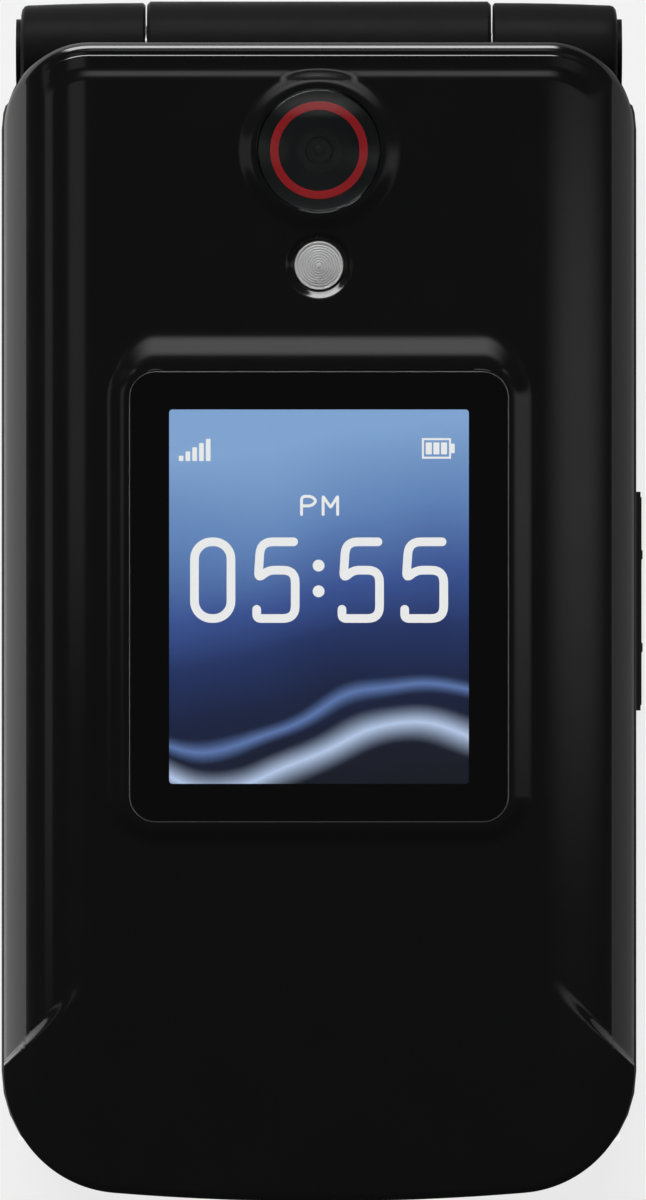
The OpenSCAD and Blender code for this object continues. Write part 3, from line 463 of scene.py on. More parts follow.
def triangulate(skin, indices, loops, keep, upward, normal_of=None):
    """Faces over points of the skin, seen in plan. No face crosses a loop, and keep picks the faces."""
    plan = [Vector(skin.points[i][:2]) for i in indices]
    where = {index: k for k, index in enumerate(indices)}
    edges = [(where[a], where[b]) for loop in loops for a, b in zip(loop, loop[1:] + loop[:1])]
    _, _, faces, origins, _, _ = delaunay_2d_cdt(plan, edges, [], 0, 1e-7)
    for face in faces:
        corners = [indices[origins[k][0]] for k in face]
        x, y = np.mean([skin.points[c][:2] for c in corners], axis=0)
        if not keep(x, y):
            continue
        (ax, ay), (bx, by), (cx, cy) = [skin.points[c][:2] for c in corners]
        if ((bx - ax) * (cy - ay) - (by - ay) * (cx - ax) > 0) != upward:
            corners.reverse()
        skin.face(corners, None if normal_of is None else [normal_of[c] for c in corners])


# ---- the lid's plan ----

def plan_line(half, hinge, free, hinge_r, free_r, corner_steps, end_steps):
    """The lid's outline in rows of centre, radius and direction.

    A parallel line lies at centre + (radius - inset) * direction.
    """
    reach = FREE_BOW_R - free_r
    bow_y = free + FREE_BOW_R
    corner_y = bow_y - math.sqrt(reach ** 2 - (half - free_r) ** 2)
    meet = math.degrees(math.atan2(corner_y - bow_y, half - free_r))
    rows = []

    def turn(cx, cy, r, start, end, steps, skip_ends=False):
        angles = np.radians(np.linspace(start, end, steps + 1))
        for a in angles[1:-1] if skip_ends else angles:
            rows.append((cx, cy, r, math.cos(a), math.sin(a)))

    def straight(points, direction):
        for x, y in points:
            away = x * direction[0] + y * direction[1]
            rows.append((x - away * direction[0], y - away * direction[1], away, *direction))

    # fine stretches where the chin's line crosses the flank
    stops = list(np.arange(corner_y + 0.3, CHIN_RIM_Y - 0.5, 0.4))
    stops += list(np.arange(CHIN_RIM_Y - 0.5, CHIN_RIM_Y + 2.8, 0.08))
    stops += list(np.arange(CHIN_RIM_Y + 3, hinge - hinge_r - 0.3, 0.75))
    turn(half - free_r, corner_y, free_r, meet, 0, corner_steps)
    straight([(half, y) for y in stops], (1, 0))
    turn(half - hinge_r, hinge - hinge_r, hinge_r, 0, 90, corner_steps)
    straight([(x, hinge) for x in np.linspace(half - hinge_r, hinge_r - half, end_steps + 1)[1:-1]], (0, 1))
    turn(hinge_r - half, hinge - hinge_r, hinge_r, 90, 180, corner_steps)
    straight([(-half, y) for y in stops[::-1]], (-1, 0))
    turn(free_r - half, corner_y, free_r, 180, 180 - meet, corner_steps)
    turn(0, bow_y, FREE_BOW_R, -180 - meet, meet, end_steps, True)
    return np.array(rows), corner_y


def inset_line(rows, inset):
    return rows[:, :2] + (rows[:, 2] - inset)[:, None] * rows[:, 3:]


cover_plan, cover_corner_y = plan_line(cover_half, lid_end, free_y, HINGE_CORNER_R, FREE_CORNER_R, 30, 100)


def depth_inside(x, y):
    """Distance from a point to the cover's outline, larger towards the middle."""
    ax = np.abs(x)
    bow_y = free_y + FREE_BOW_R
    near = np.minimum(cover_half - ax, np.minimum(lid_end - y, FREE_BOW_R - np.hypot(x, y - bow_y)))
    hx, hy = cover_half - HINGE_CORNER_R, lid_end - HINGE_CORNER_R
    near = np.where((ax > hx) & (y > hy), HINGE_CORNER_R - np.hypot(ax - hx, y - hy), near)
    fx, fy = cover_half - FREE_CORNER_R, cover_corner_y
    angle = np.arctan2(y - fy, ax - fx)
    steepest = math.atan2(fy - bow_y, fx)
    return np.where((angle < 0) & (angle > steepest), FREE_CORNER_R - np.hypot(ax - fx, y - fy), near)


# ---- the lid's surface ----

def smooth(t):
    t = np.clip(t, 0, 1)
    return t * t * (3 - 2 * t)


def from_window(x, y):
    """Distance outside the cover display's window."""
    dx = np.abs(x) - window_w / 2 + WINDOW_R
    dy = np.abs(y - window_y) - window_h / 2 + WINDOW_R
    outside = np.hypot(np.maximum(dx, 0), np.maximum(dy, 0))
    return outside + np.minimum(np.maximum(dx, dy), 0) - WINDOW_R


def from_camera(x, y):
    return np.hypot(x, y - camera_y) - camera_r


def from_flash(x, y):
    return np.hypot(x, y - flash_y) - flash_r


CAMERA_RIM = 0.4              # flat rim round the camera's window
CAMERA_SLOPE = 1.6
CAMERA_H = 0.25
FLASH_DISH = 0.85
FLASH_DISH_H = 0.4
EDGE_STEP_IN = 1.15           # fine step beside the hinge edge
EDGE_STEP_W = 0.13
EDGE_STEP_H = 0.05
BROW_IN = 3.5                 # soft fall of the face towards the hinge edge
BROW_W = 1.3
BROW_H = 0.14
STEP = 1e-3                   # for slopes taken as differences
OPENING_GAP = 0.05            # between an opening in the lid and what fills it
EDGE_SLACK = 0.04             # a face this near an opening lies inside it


def arch(x, r=crown_r):
    beyond = np.maximum(np.abs(x) - crown_mid, 0)
    return face_z - crown_r + np.sqrt(np.maximum(r * r - beyond * beyond, 0))


def chin_share(x, y):
    """0 on the lid's long part, 1 on the chin, whose flanks are shallower."""
    inwards = cover_half - np.abs(x)
    line = np.minimum(CHIN_RIM_Y + inwards, CHIN_Y)
    return smooth((line - y) / (CHIN_BLEND + CHIN_SPREAD * inwards) + 0.5)


def rolled_edge(depth, share):
    """Drop of the edge along the flanks and the hinge end, a quarter of an ellipse."""
    roll_w = SIDE_ROLL * (1 - share) + HINGE_ROLL * share
    roll_h = SIDE_ROLL_H * (1 - share) + ROLL_H * share
    t = np.clip((roll_w - depth) / roll_w, 0, 1)
    return roll_h * (1 - np.sqrt(1 - t * t))


def chin_edge(depth, share):
    """Drop of the edge round the chin, an arc that stays shallower than half a right angle."""
    roll_w = np.maximum(FREE_ROLL * share, 1e-6)
    beside, end = FREE_ROLL_SLOPES
    r = roll_w / np.sin(np.radians(beside + (end - beside) * share))
    t = np.clip(roll_w - depth, 0, roll_w)
    return r - np.sqrt(r * r - t * t)


def surround(x, y):
    """1 on the rim round the cover display's window, falling to 0 outside, slower on the hinge side."""
    top = window_y + window_h / 2
    near = np.where(y > top, top + (y - top) * HUMP_W / HUMP_TOP_W, y)
    return smooth((HUMP_W - from_window(x, near)) / (HUMP_W - 0.3))


def lid_surface(x, y):
    """Height of the cover's outer face."""
    depth = depth_inside(x, y)
    along = (depth_inside(x, y + STEP) - depth_inside(x, y - STEP)) / (2 * STEP)
    share = np.clip(along, -1, 1) ** 2
    hinge_side = along < 0
    chin = chin_share(x, y)
    z = arch(x) - rolled_edge(depth, share)
    fall = CHIN_FALL * (np.maximum(CHIN_Y - y, 0) / (CHIN_Y - free_y)) ** 2
    chin_z = face_z - chin_r + np.sqrt(chin_r ** 2 - np.maximum(np.abs(x) - crown_mid, 0) ** 2)
    z = z * (1 - chin) + (chin_z - fall - chin_edge(depth, share)) * chin
    step = smooth((EDGE_STEP_IN + EDGE_STEP_W - depth) / EDGE_STEP_W)
    z -= EDGE_STEP_H * step * smooth((share - 0.6) / 0.3) * hinge_side
    z -= BROW_H * smooth((BROW_IN - depth) / BROW_W) * smooth((share - 0.3) / 0.6) * hinge_side
    round_camera = smooth((CAMERA_RIM + CAMERA_SLOPE - from_camera(x, y)) / CAMERA_SLOPE)
    z += np.maximum(HUMP_H * surround(x, y), CAMERA_H * round_camera)
    return z - FLASH_DISH_H * smooth((FLASH_DISH - from_flash(x, y)) / (FLASH_DISH - 0.08))


def lid_normals(points):
    """Outward normals of the outer face at plan points."""
    x, y = np.array(points, float).T[:2]
    fall_x = (lid_surface(x + STEP, y) - lid_surface(x - STEP, y)) / (2 * STEP)
    fall_y = (lid_surface(x, y + STEP) - lid_surface(x, y - STEP)) / (2 * STEP)
    normals = np.stack([-fall_x, -fall_y, np.ones_like(x)], 1)
    return normals / np.linalg.norm(normals, axis=1)[:, None]


def under_surface(x, y):
    """Height of the cover's underside: its rim, the groove over the barrel, and the ceiling inside."""
    near = np.abs(y - axis_y)
    groove = axis_z + np.sqrt(np.maximum(SWING_R ** 2 - near ** 2, 0))
    rim = np.where(near < SWING_R, np.maximum(groove, shell_low), shell_low)
    inside = (depth_inside(x, y) > COVER_WALL + 0.005) & (y < axis_y - TROUGH_R + 0.005)
    return np.where(inside, arch(x, crown_r - COVER_WALL), rim)


def grid(step_x, step_y, keep):
    """Plan points on a grid over the lid, every other row shifted, where keep holds."""
    points = []
    for row, y in enumerate(np.arange(free_y, lid_end, step_y)):
        shift = step_x / 2 * (row % 2)
        points += [(x, y) for x in np.arange(-cover_half + shift, cover_half, step_x)]
    points = np.array(points)
    return points[keep(points[:, 0], points[:, 1])]


def lid_outer_cover():
    """Gloss shell: rings along the rim, a triangulated middle, the underside, and the walls between."""
    skin = Skin()
    # rings of points inwards from the rim, finest at the rim and at the step beside the hinge edge
    insets = [0.005 * n * (n + 1) for n in range(13)]
    insets += [0.9, 1.04, 1.12, 1.16, 1.2, 1.24, 1.3, 1.45, 1.7, 2.1]
    inner_insets = [*np.arange(2.25, 3.3, 0.2), 3.5, 3.9, 4.4, 5.0, 5.7, 6.6, 7.5, cover_half - crown_mid]
    count = len(cover_plan)
    top_normal = {}

    def on_top(plan):
        x, y = np.array(plan, float).T
        made = skin.add(np.stack([x, y, lid_surface(x, y)], 1))
        top_normal.update(zip(made, map(tuple, lid_normals(plan))))
        return made

    rings = [on_top(inset_line(cover_plan, inset)) for inset in insets]
    for k, i in enumerate(rings[0]):
        top_normal[i] = (*cover_plan[k, 3:], 0.0)
    for outer, inner in zip(rings, rings[1:]):
        for i in range(count):
            quad = (outer[i], outer[(i + 1) % count], inner[(i + 1) % count], inner[i])
            skin.face(quad, [top_normal[c] for c in quad])

    # top face inside the last ring: lines of points round each opening, by their distance from it
    window_rows = []
    top = window_y + window_h / 2
    stretch = HUMP_TOP_W / HUMP_W
    for e in [OPENING_GAP, 0.12, *np.arange(0.2, 2.05, 0.15), 2.12, 2.3]:
        line = rounded(window_w + 2 * e, window_h + 2 * e, WINDOW_R + e, (0, window_y), 14, 20)
        window_rows.append(on_top([(x, y if y < top else top + (y - top) * stretch) for x, y in line]))
    camera_steps = [OPENING_GAP, 0.2, *np.arange(0.4, 1.95, 0.15), 2.02]
    camera_rows = [on_top(circle(camera_r + e, (0, camera_y), 96)) for e in camera_steps]
    flash_steps = [OPENING_GAP, 0.12, 0.22, 0.34, 0.46, 0.58, 0.7, 0.8, 0.88, 1.0]
    flash_rows = [on_top(circle(flash_r + e, (0, flash_y), 64)) for e in flash_steps]

    def clear(x, y):
        """Away from the lines round the openings."""
        beside_round = (from_camera(x, y) > 2.2) & (from_flash(x, y) > 1.5)
        return (surround(x, y) == 0) & (from_window(x, y) > 2.8) & beside_round

    inner = np.concatenate([inset_line(cover_plan, inset) for inset in inner_insets])
    rest = grid(1.2, 1.1, lambda x, y: (depth_inside(x, y) > inner_insets[-1] + 0.7) & clear(x, y))
    # rows along the chin's line
    crease = []
    inwards = np.arange(2.45, 7.0, 0.3)
    for off in np.linspace(-0.6, 0.6, 9):
        side = [(cover_half - t, CHIN_RIM_Y + t + off * (CHIN_BLEND + CHIN_SPREAD * t)) for t in inwards]
        crease += [(sign * x, y) for x, y in side for sign in (-1, 1)]
    rest = np.concatenate([inner[clear(inner[:, 0], inner[:, 1])], rest, crease])
    features = [i for rows in (window_rows, camera_rows, flash_rows) for row in rows for i in row]
    openings = [rows[0] for rows in (window_rows, camera_rows, flash_rows)]
    triangulate(
        skin, rings[-1] + features + on_top(rest), [rings[-1], *openings],
        lambda x, y: min(from_window(x, y), from_camera(x, y), from_flash(x, y)) > EDGE_SLACK,
        True, top_normal)

    def under(plan):
        x, y = np.array(plan, float).T
        return skin.add(np.stack([x, y, under_surface(x, y)], 1))

    # underside
    rim = under(inset_line(cover_plan, 0))
    wall_lines = [under(inset_line(cover_plan, COVER_WALL + e)) for e in (0, 0.02)]
    picture_hole = under(rounded(*PICTURE_HOLE, 0.6, (0, window_y), 14, 20))
    camera_hole = under(circle(CAMERA_HOLE_R, (0, camera_y), 96))
    flash_hole = under(circle(flash_r + OPENING_GAP, (0, flash_y), 64))
    groove_from = axis_y - math.sqrt(SWING_R ** 2 - (shell_low - axis_z) ** 2)
    across = np.arange(-cover_half + 1.5, cover_half - 1.4, 1.9)
    bands = [axis_y - TROUGH_R, axis_y - TROUGH_R + 0.02, groove_from]
    bands += list(np.linspace(groove_from + 0.35, lid_end - 0.3, 12))
    lines = [(x, y) for y in bands for x in across]
    lines += list(grid(4, 3.7, lambda x, y: (
        (depth_inside(x, y) > 2) & (y < axis_y - TROUGH_R - 1) & (from_window(x, y) > 1)
        & (from_camera(x, y) > 0.5) & (from_flash(x, y) > 1))))
    lines = [p for p in lines if depth_inside(*p) >= 1.5 and from_camera(*p) > -1.5]

    def solid_below(x, y):
        in_picture = abs(x) < PICTURE_HOLE[0] / 2 and abs(y - window_y) < PICTURE_HOLE[1] / 2
        in_round = np.hypot(x, y - camera_y) < CAMERA_HOLE_R or from_flash(x, y) < EDGE_SLACK
        return not in_picture and not in_round

    wall = [i for line in wall_lines for i in line]
    triangulate(
        skin, rim + wall + picture_hole + camera_hole + flash_hole + under(lines),
        [rim, picture_hole, camera_hole, flash_hole], solid_below, False)

    # walls
    outward = [(*row[3:], 0.0) for row in cover_plan]
    skin.strip(rim, rings[0], outward)

    def well(top, ledge_z, hole):
        """Walls and ledge from an opening in the top face down to a hole in the underside."""
        foot = skin.add([(*skin.points[i][:2], ledge_z) for i in top])
        brink = skin.add([(*skin.points[i][:2], ledge_z) for i in hole])
        for low, high in ((top, foot), (foot, brink), (brink, hole)):
            skin.strip(low, high)

    well(window_rows[0], glass_low[2], picture_hole)
    well(camera_rows[0], ring_low[2], camera_hole)
    skin.strip(flash_rows[0], flash_hole)
    return skin.build("outer_cover", [GLOSS], "lid", ["lid_outer_cover"])


lid_outer_cover()


# ---- cover display ----

def plate(skin, w, h, r, low, high, at, steps=10):
    """Slab with rounded corners."""
    outline = rounded(w, h, r, at, steps)
    stack(skin, [(low, outline), (high, outline)])


def disc(skin, rows, at, count=96):
    """Closed turned solid from (radius, height) rows, bottom first. A radius of 0 closes it."""
    rings = []
    for r, z in rows:
        line = [at] if r == 0 else circle(r, at, count)
        rings.append(skin.add([(x, y, z) for x, y in line]))
    for low, high in zip(rings, rings[1:]):
        if len(low) == 1:
            for i in range(count):
                skin.face((low[0], high[(i + 1) % count], high[i]))
        elif len(high) == 1:
            skin.fan(low, high[0])
        else:
            skin.strip(low, high)


def hoop(skin, inner, outer, low, high, at, edge=0.0):
    """Flat ring."""
    rows = [
        (inner, low), (outer, low), (outer, high - edge), (outer - edge, high), (inner + edge, high),
        (inner, high - edge)
    ]
    rings = [skin.add([(x, y, z) for x, y in circle(r, at, 96)]) for r, z in rows]
    for a, b in zip(rings, rings[1:] + rings[:1]):
        skin.strip(a, b)


PICTURE_PX = (165.1, 463.7, 407.5, 780.4)     # the lit picture in the photograph: left, right, top, bottom


def on_picture(px, py):
    """Point of the cover display for a pixel of the photograph."""
    left, right, top, bottom = PICTURE_PX
    return (px - (left + right) / 2) * PICTURE_W / (right - left), \
        window_y - (py - (top + bottom) / 2) * PICTURE_H / (bottom - top)


GLASS_FOOT = glass_low[2] + 0.045     # the glass, with its print and the lit picture under it
MARK_LOW = GLASS_FOOT - 0.035
MARK_HIGH = GLASS_FOOT - 0.02
PICTURE_TOP = MARK_LOW - 0.003
PICTURE_T = 0.02
PICTURE_R = 0.3                       # corners of the lit picture


def ribbon(skin, path, width, closed=False, low=MARK_LOW, high=MARK_HIGH):
    """Flat stroke of even width along a path, with round ends where it is open."""
    path = np.array(path, float)
    ahead = np.roll(path, -1, 0) - path
    behind = path - np.roll(path, 1, 0)
    if not closed:
        ahead[-1] = behind[-1]
        behind[0] = ahead[0]
    ahead /= np.linalg.norm(ahead, axis=1)[:, None]
    behind /= np.linalg.norm(behind, axis=1)[:, None]
    along = ahead + behind
    along /= np.linalg.norm(along, axis=1)[:, None]
    miter = 1 / np.clip((along * ahead).sum(1), 0.5, 1)
    side = np.stack([-along[:, 1], along[:, 0]], 1) * (miter * width / 2)[:, None]
    left, right = path + side, path - side
    tips = []
    if not closed:
        for tip, out in ((path[-1], -side[-1]), (path[0], side[0])):
            turn = math.degrees(math.atan2(out[1], out[0]))
            tips.append(arc(*tip, width / 2, turn, turn + 180, 8)[1:-1])
    levels = []
    for z in (low, high):
        levels.append([skin.add([(*p, z) for p in line]) for line in (left, right, *tips)])
    for (a, b, *ends), up in zip(levels, (False, True)):
        for i in range(len(path) if closed else len(path) - 1):
            j = (i + 1) % len(path)
            quad = (b[i], b[j], a[j], a[i])
            skin.face(quad if up else quad[::-1])
        if not closed:
            for cap in ([b[-1], *ends[0], a[-1]], [a[0], *ends[1], b[0]]):
                skin.face(cap if up else cap[::-1])
    if closed:
        skin.strip(levels[0][1], levels[1][1])
        skin.strip(levels[0][0][::-1], levels[1][0][::-1])
    else:
        rims = [[*b, *ends[0], *a[::-1], *ends[1]] for a, b, *ends in levels]
        skin.strip(rims[0], rims[1])


def bend_path(corners, r, steps=6):
    """Path through corners that are rounded by r, ends left as they are."""
    corners = [np.array(c, float) for c in corners]
    path = [corners[0]]
    for a, b, c in zip(corners, corners[1:], corners[2:]):
        to_a, to_c = a - b, c - b
        reach = min(r, np.linalg.norm(to_a) * 0.49, np.linalg.norm(to_c) * 0.49)
        start = b + to_a / np.linalg.norm(to_a) * reach
        end = b + to_c / np.linalg.norm(to_c) * reach
        for t in np.linspace(0, 1, steps + 1):
            path.append(start * (1 - t) ** 2 + 2 * b * t * (1 - t) + end * t * t)
    path.append(corners[-1])
    return path


def zero(left, top, right, bottom, r):
    """Closed oval path of the figure 0."""
    (x0, y1), (x1, y0) = on_picture(left, top), on_picture(right, bottom)
    return rounded(x1 - x0, y1 - y0, r, ((x0 + x1) / 2, (y0 + y1) / 2), 10, 2)


def five(left, top, right, bottom):
    """Path of the figure 5, from its flag to its tail."""
    (x0, y1), (x1, y0) = on_picture(left, top), on_picture(right, bottom)
    w, h = x1 - x0, y1 - y0
    belly = y0 + 0.63 * h
    corners = [
        (x1 - 0.04 * w, y1), (x0 + 0.1 * w, y1), (x0 + 0.04 * w, y0 + 0.52 * h), (x0 + 0.3 * w, belly),
        (x1, belly), (x1, y0), (x0, y0), (x0, y0 + 0.12 * h)
    ]
    return bend_path(corners, 0.32 * w)


def block(skin, left, top, right, bottom):
    """Lit rectangle between two pixels of the photograph."""
    (x0, y1), (x1, y0) = on_picture(left, top), on_picture(right, bottom)
    plate(skin, x1 - x0, y1 - y0, 0.05, MARK_LOW, MARK_HIGH, ((x0 + x1) / 2, (y0 + y1) / 2), 2)


# places of the marks in the photograph, in pixels
CLOCK_TOP, CLOCK_BOTTOM = 535, 620
ZERO_SIDES = (186, 231)
FIVE_SIDES = [(248, 295), (333, 379), (395.5, 443)]
COLON = [(314, 563), (314, 588.6)]
LETTER_P = [(297, 512), (297, 494), (307, 494), (312, 498.5), (307, 503.5), (297, 503.5)]
LETTER_M = [(318.5, 512), (318.5, 494), (326, 505), (333, 494), (333, 512)]
SIGNAL_LEFT, SIGNAL_TOP, SIGNAL_BOTTOM = 174.7, 453.5, 458.8
SIGNAL_PITCH, SIGNAL_BAR, SIGNAL_RISE = 6.75, 4.6, 4.2
BATTERY = [(418, 437), (445, 437), (445, 455.5), (418, 455.5)]
BATTERY_TIP = (446, 441.5, 449.6, 451)
CHARGE_LEFT, CHARGE_TOP, CHARGE_BOTTOM = 420.8, 440.3, 452.2
CHARGE_PITCH, CHARGE_BAR = 7.6, 6
HALF_STROKE = 4.3
# and their sizes in millimetres
CLOCK_STROKE = 0.775
LETTER_STROKE = 0.26
BATTERY_STROKE = 0.18
DOT_R = 0.53


def display_marks():
    """Clock, afternoon mark, signal bars and battery, as flat lit strokes."""
    skin = Skin()
    top, bottom = CLOCK_TOP + HALF_STROKE, CLOCK_BOTTOM - HALF_STROKE
    left, right = ZERO_SIDES
    ribbon(skin, zero(left + HALF_STROKE, top, right - HALF_STROKE, bottom, 1.55), CLOCK_STROKE, True)
    for left, right in FIVE_SIDES:
        ribbon(skin, five(left + HALF_STROKE, top, right - HALF_STROKE, bottom), CLOCK_STROKE)
    dot = [(0, MARK_LOW), (DOT_R, MARK_LOW), (DOT_R, MARK_HIGH), (0, MARK_HIGH)]
    for pixel in COLON:
        disc(skin, dot, on_picture(*pixel), 32)
    for letter, r in ((LETTER_P, 0.35), (LETTER_M, 0.12)):
        ribbon(skin, bend_path([on_picture(*c) for c in letter], r), LETTER_STROKE)
    for i in range(5):
        left = SIGNAL_LEFT + i * SIGNAL_PITCH
        block(skin, left, SIGNAL_TOP - i * SIGNAL_RISE, left + SIGNAL_BAR, SIGNAL_BOTTOM)
    ribbon(skin, [on_picture(*c) for c in BATTERY], BATTERY_STROKE, True)
    block(skin, *BATTERY_TIP)
    for i in range(3):
        left = CHARGE_LEFT + i * CHARGE_PITCH
        block(skin, left, CHARGE_TOP, left + CHARGE_BAR, CHARGE_BOTTOM)
    skin.build("display_marks", [LIT], "lid")


def cover_display():
    skin = Skin()
    at = (0, window_y)
    plate(skin, PICTURE_W, PICTURE_H, PICTURE_R, PICTURE_TOP - PICTURE_T, PICTURE_TOP, at)
    skin.build("cover_picture", [PICTURE], "lid")

    # glass, clear over the picture and printed black round it
    skin = Skin()
    steps, flats, bevel = 8, 4, 0.11
    top = glass_high[2]
    outline = [(GLASS_FOOT, 0), (top - bevel, 0), (top - bevel * 0.3, bevel * 0.3), (top, bevel)]
    rings = [
        (z, rounded(window_w - 2 * e, window_h - 2 * e, WINDOW_R - e, at, steps, flats)) for z, e in outline
    ]
    rows = stack(skin, rings, 1, False)
    clear = skin.add([(x, y, top) for x, y in rounded(PICTURE_W, PICTURE_H, PICTURE_R, at, steps, flats)])
    skin.strip(rows[-1], clear, slot=2)
    skin.face(clear)
    skin.build("cover_glass", [GLASS, EDGE, PRINT], "lid", ["cover_window"], crease=12)


cover_display()
display_marks()


# ---- main display ----

PANEL_RIM = 0.6               # printed edge of the main display


def main_display_window():
    """Glass of the main display, which faces the keypad: clear over the panel, printed black round it."""
    low, high = corners_of("main_window")
    panel_low, panel_high = corners_of("main_display")
    at = ((low + high) / 2)[:2]
    panel_at = ((panel_low + panel_high) / 2)[:2]
    w, h = (high - low)[:2]
    steps, flats, bevel, r = 8, 6, 0.1, 1.4
    view_w, view_h = (panel_high - panel_low)[:2] - 2 * PANEL_RIM
    skin = Skin()
    outline = [(low[2], bevel), (low[2] + bevel * 0.7, bevel * 0.3), (low[2] + bevel, 0), (high[2], 0)]
    rows = []
    for z, e in outline:
        rim = rounded(w - 2 * e, h - 2 * e, r - e, at, steps, flats)
        rows.append(skin.add([(x, y, z) for x, y in rim]))
    for a, b in zip(rows, rows[1:]):
        skin.strip(a, b, slot=1)
    skin.face(rows[-1])
    view = rounded(view_w, view_h, PICTURE_R, panel_at, steps, flats)
    clear = skin.add([(x, y, low[2]) for x, y in view])
    skin.strip(clear, rows[0], slot=1)
    skin.face(clear[::-1])
    skin.build("main_glass", [GLASS, PRINT], "lid", ["main_window"], crease=12)


main_display_window()


# ---- key legends ----

# strokes of each mark, in shares of its width and height
OVAL = [(0.5, 0), (0, 0), (0, 1), (1, 1), (1, 0), (0.5, 0)]
FIGURES = {
    "1": [[(0.2, 0.78), (0.6, 1), (0.6, 0)]],
    "2": [[(0, 0.75), (0, 1), (1, 1), (1, 0.55), (0, 0), (1, 0)]],
    "3": [[(0, 1), (1, 1), (1, 0.55), (0.4, 0.55)], [(0.7, 0.55), (1, 0.55), (1, 0), (0, 0)]],
    "4": [[(0.75, 0), (0.75, 1), (0, 0.3), (1, 0.3)]],
    "5": [[(0.95, 1), (0.08, 1), (0.04, 0.58), (1, 0.62), (1, 0), (0, 0)]],
    "6": [[(0.85, 1), (0, 1), (0, 0), (1, 0), (1, 0.58), (0, 0.58)]],
    "7": [[(0, 1), (1, 1), (0.35, 0)]],
    "8": [OVAL, [(0.1, 0.53), (0.9, 0.53)]],
    "9": [[(0.15, 0), (1, 0), (1, 1), (0, 1), (0, 0.42), (1, 0.42)]],
    "0": [OVAL],
    "star": [[(0.5, 0.95), (0.5, 0.25)], [(0.15, 0.78), (0.85, 0.42)], [(0.15, 0.42), (0.85, 0.78)]],
    "hash": [
        [(0.35, 1), (0.2, 0)], [(0.8, 1), (0.65, 0)],
        [(0.02, 0.68), (0.98, 0.68)], [(0.02, 0.32), (0.98, 0.32)],
    ],
}
HANDSET = [(0, 0.2), (0.15, 0.75), (0.5, 0.95), (0.85, 0.75), (1, 0.2)]
DASH = [(0, 0.5), (1, 0.5)]
MARKS = {
    "send_key": HANDSET,
    "end_key": HANDSET,
    "clear_key": [(1, 0.1), (0.4, 0.1), (0, 0.5), (0.4, 0.9), (1, 0.9), (1, 0.1)],
    "left_soft_key": DASH,
    "right_soft_key": DASH,
    "ok_key": [(0.5, 0.15), (0.15, 0.15), (0.15, 0.85), (0.85, 0.85), (0.85, 0.15), (0.5, 0.15)],
}
FIGURE_W, FIGURE_H, FIGURE_BEND = 2.1, 3.4, 0.45
MARK_W, MARK_H, MARK_BEND = 3.2, 2.0, 0.8
STROKE = 0.42
LEGEND_SINK, LEGEND_RISE = 0.02, 0.015


def legend(node, strokes, w, h, finish, bend):
    """Printed strokes on top of a key, which move with it."""
    low, high = corners_of(node)
    middle = (low + high) / 2
    skin = Skin()
    for stroke in strokes:
        points = [(middle[0] + (x - 0.5) * w, middle[1] + (y - 0.5) * h) for x, y in stroke]
        path = bend_path(points, bend) if len(points) > 2 else points
        ribbon(skin, path, STROKE, low=high[2] - LEGEND_SINK, high=high[2] + LEGEND_RISE)
    skin.build(node + "_legend", [finish], node)


for name, strokes in FIGURES.items():
    legend("key_" + name, strokes, FIGURE_W, FIGURE_H, LEGEND, FIGURE_BEND)
for name, mark in MARKS.items():
    finish = {"send_key": GREEN, "end_key": RED}.get(name, LEGEND)
    legend(name, [mark], MARK_W, MARK_H, finish, MARK_BEND)


# ---- camera and flash ----

RING_W = 0.74


def camera():
    """Window, red ring, the dark print round the lens, and the lens barrel's steps."""
    at = (0, camera_y)
    skin = Skin()
    low, high = camera_low[2], camera_high[2]
    disc(skin, [(0, low), (camera_r, low), (camera_r, high - 0.12), (camera_r - 0.04, high - 0.04),
                (camera_r - 0.12, high), (0, high)], at)
    skin.build("camera_glass", [CAMERA_GLASS], "lid", ["camera_window"])

    skin = Skin()
    hoop(skin, ring_high[0] - RING_W, ring_high[0], ring_low[2] + 0.05, ring_high[2], at, 0.03)
    skin.build("red_ring", [RED], "lid", ["camera_ring"])

    skin = Skin()
    hoop(skin, 2.0, camera_r - 0.02, ring_low[2] + 0.005, ring_low[2] + 0.04, at)
    skin.build("camera_print", [TEAL], "lid")

    skin = Skin()
    z = ring_low[2]
    rows = [
        (0, z - 1.2), (2.6, z - 1.2), (2.6, z - 0.15), (1.94, z - 0.12), (1.86, z - 0.3),
        (1.26, z - 0.34), (1.22, z - 0.26), (1.14, z - 0.26), (1.08, z - 0.5), (0.84, z - 0.55),
        (0.8, z - 0.5), (0.6, z - 0.42), (0.3, z - 0.36), (0, z - 0.34)
    ]
    disc(skin, rows, at, 72)
    skin.build("camera_lens", [LENS], "lid", crease=24)


def flash():
    """Lens with a Fresnel pattern: rings whose faces all lean inwards."""
    at = (0, flash_y)
    skin = Skin()
    high = flash_high[2]
    rings = 8
    pitch = (flash_r - 0.35) / rings
    rows = [(0, flash_low[2]), (flash_r, flash_low[2]), (flash_r, high - 0.05), (flash_r - 0.06, high)]
    for i in range(rings, 0, -1):
        outer = i * pitch + 0.16
        rows += [(outer, high - 0.02), (outer - 0.02, high - 0.11), (outer - pitch + 0.01, high - 0.03)]
    rows.append((0, high - 0.01))
    disc(skin, rows, at, 72)
    skin.build("flash_glass", [FLASH], "lid", ["flash_lens"], crease=20)


camera()
flash()


# ---- CAD pieces that keep their shape ----

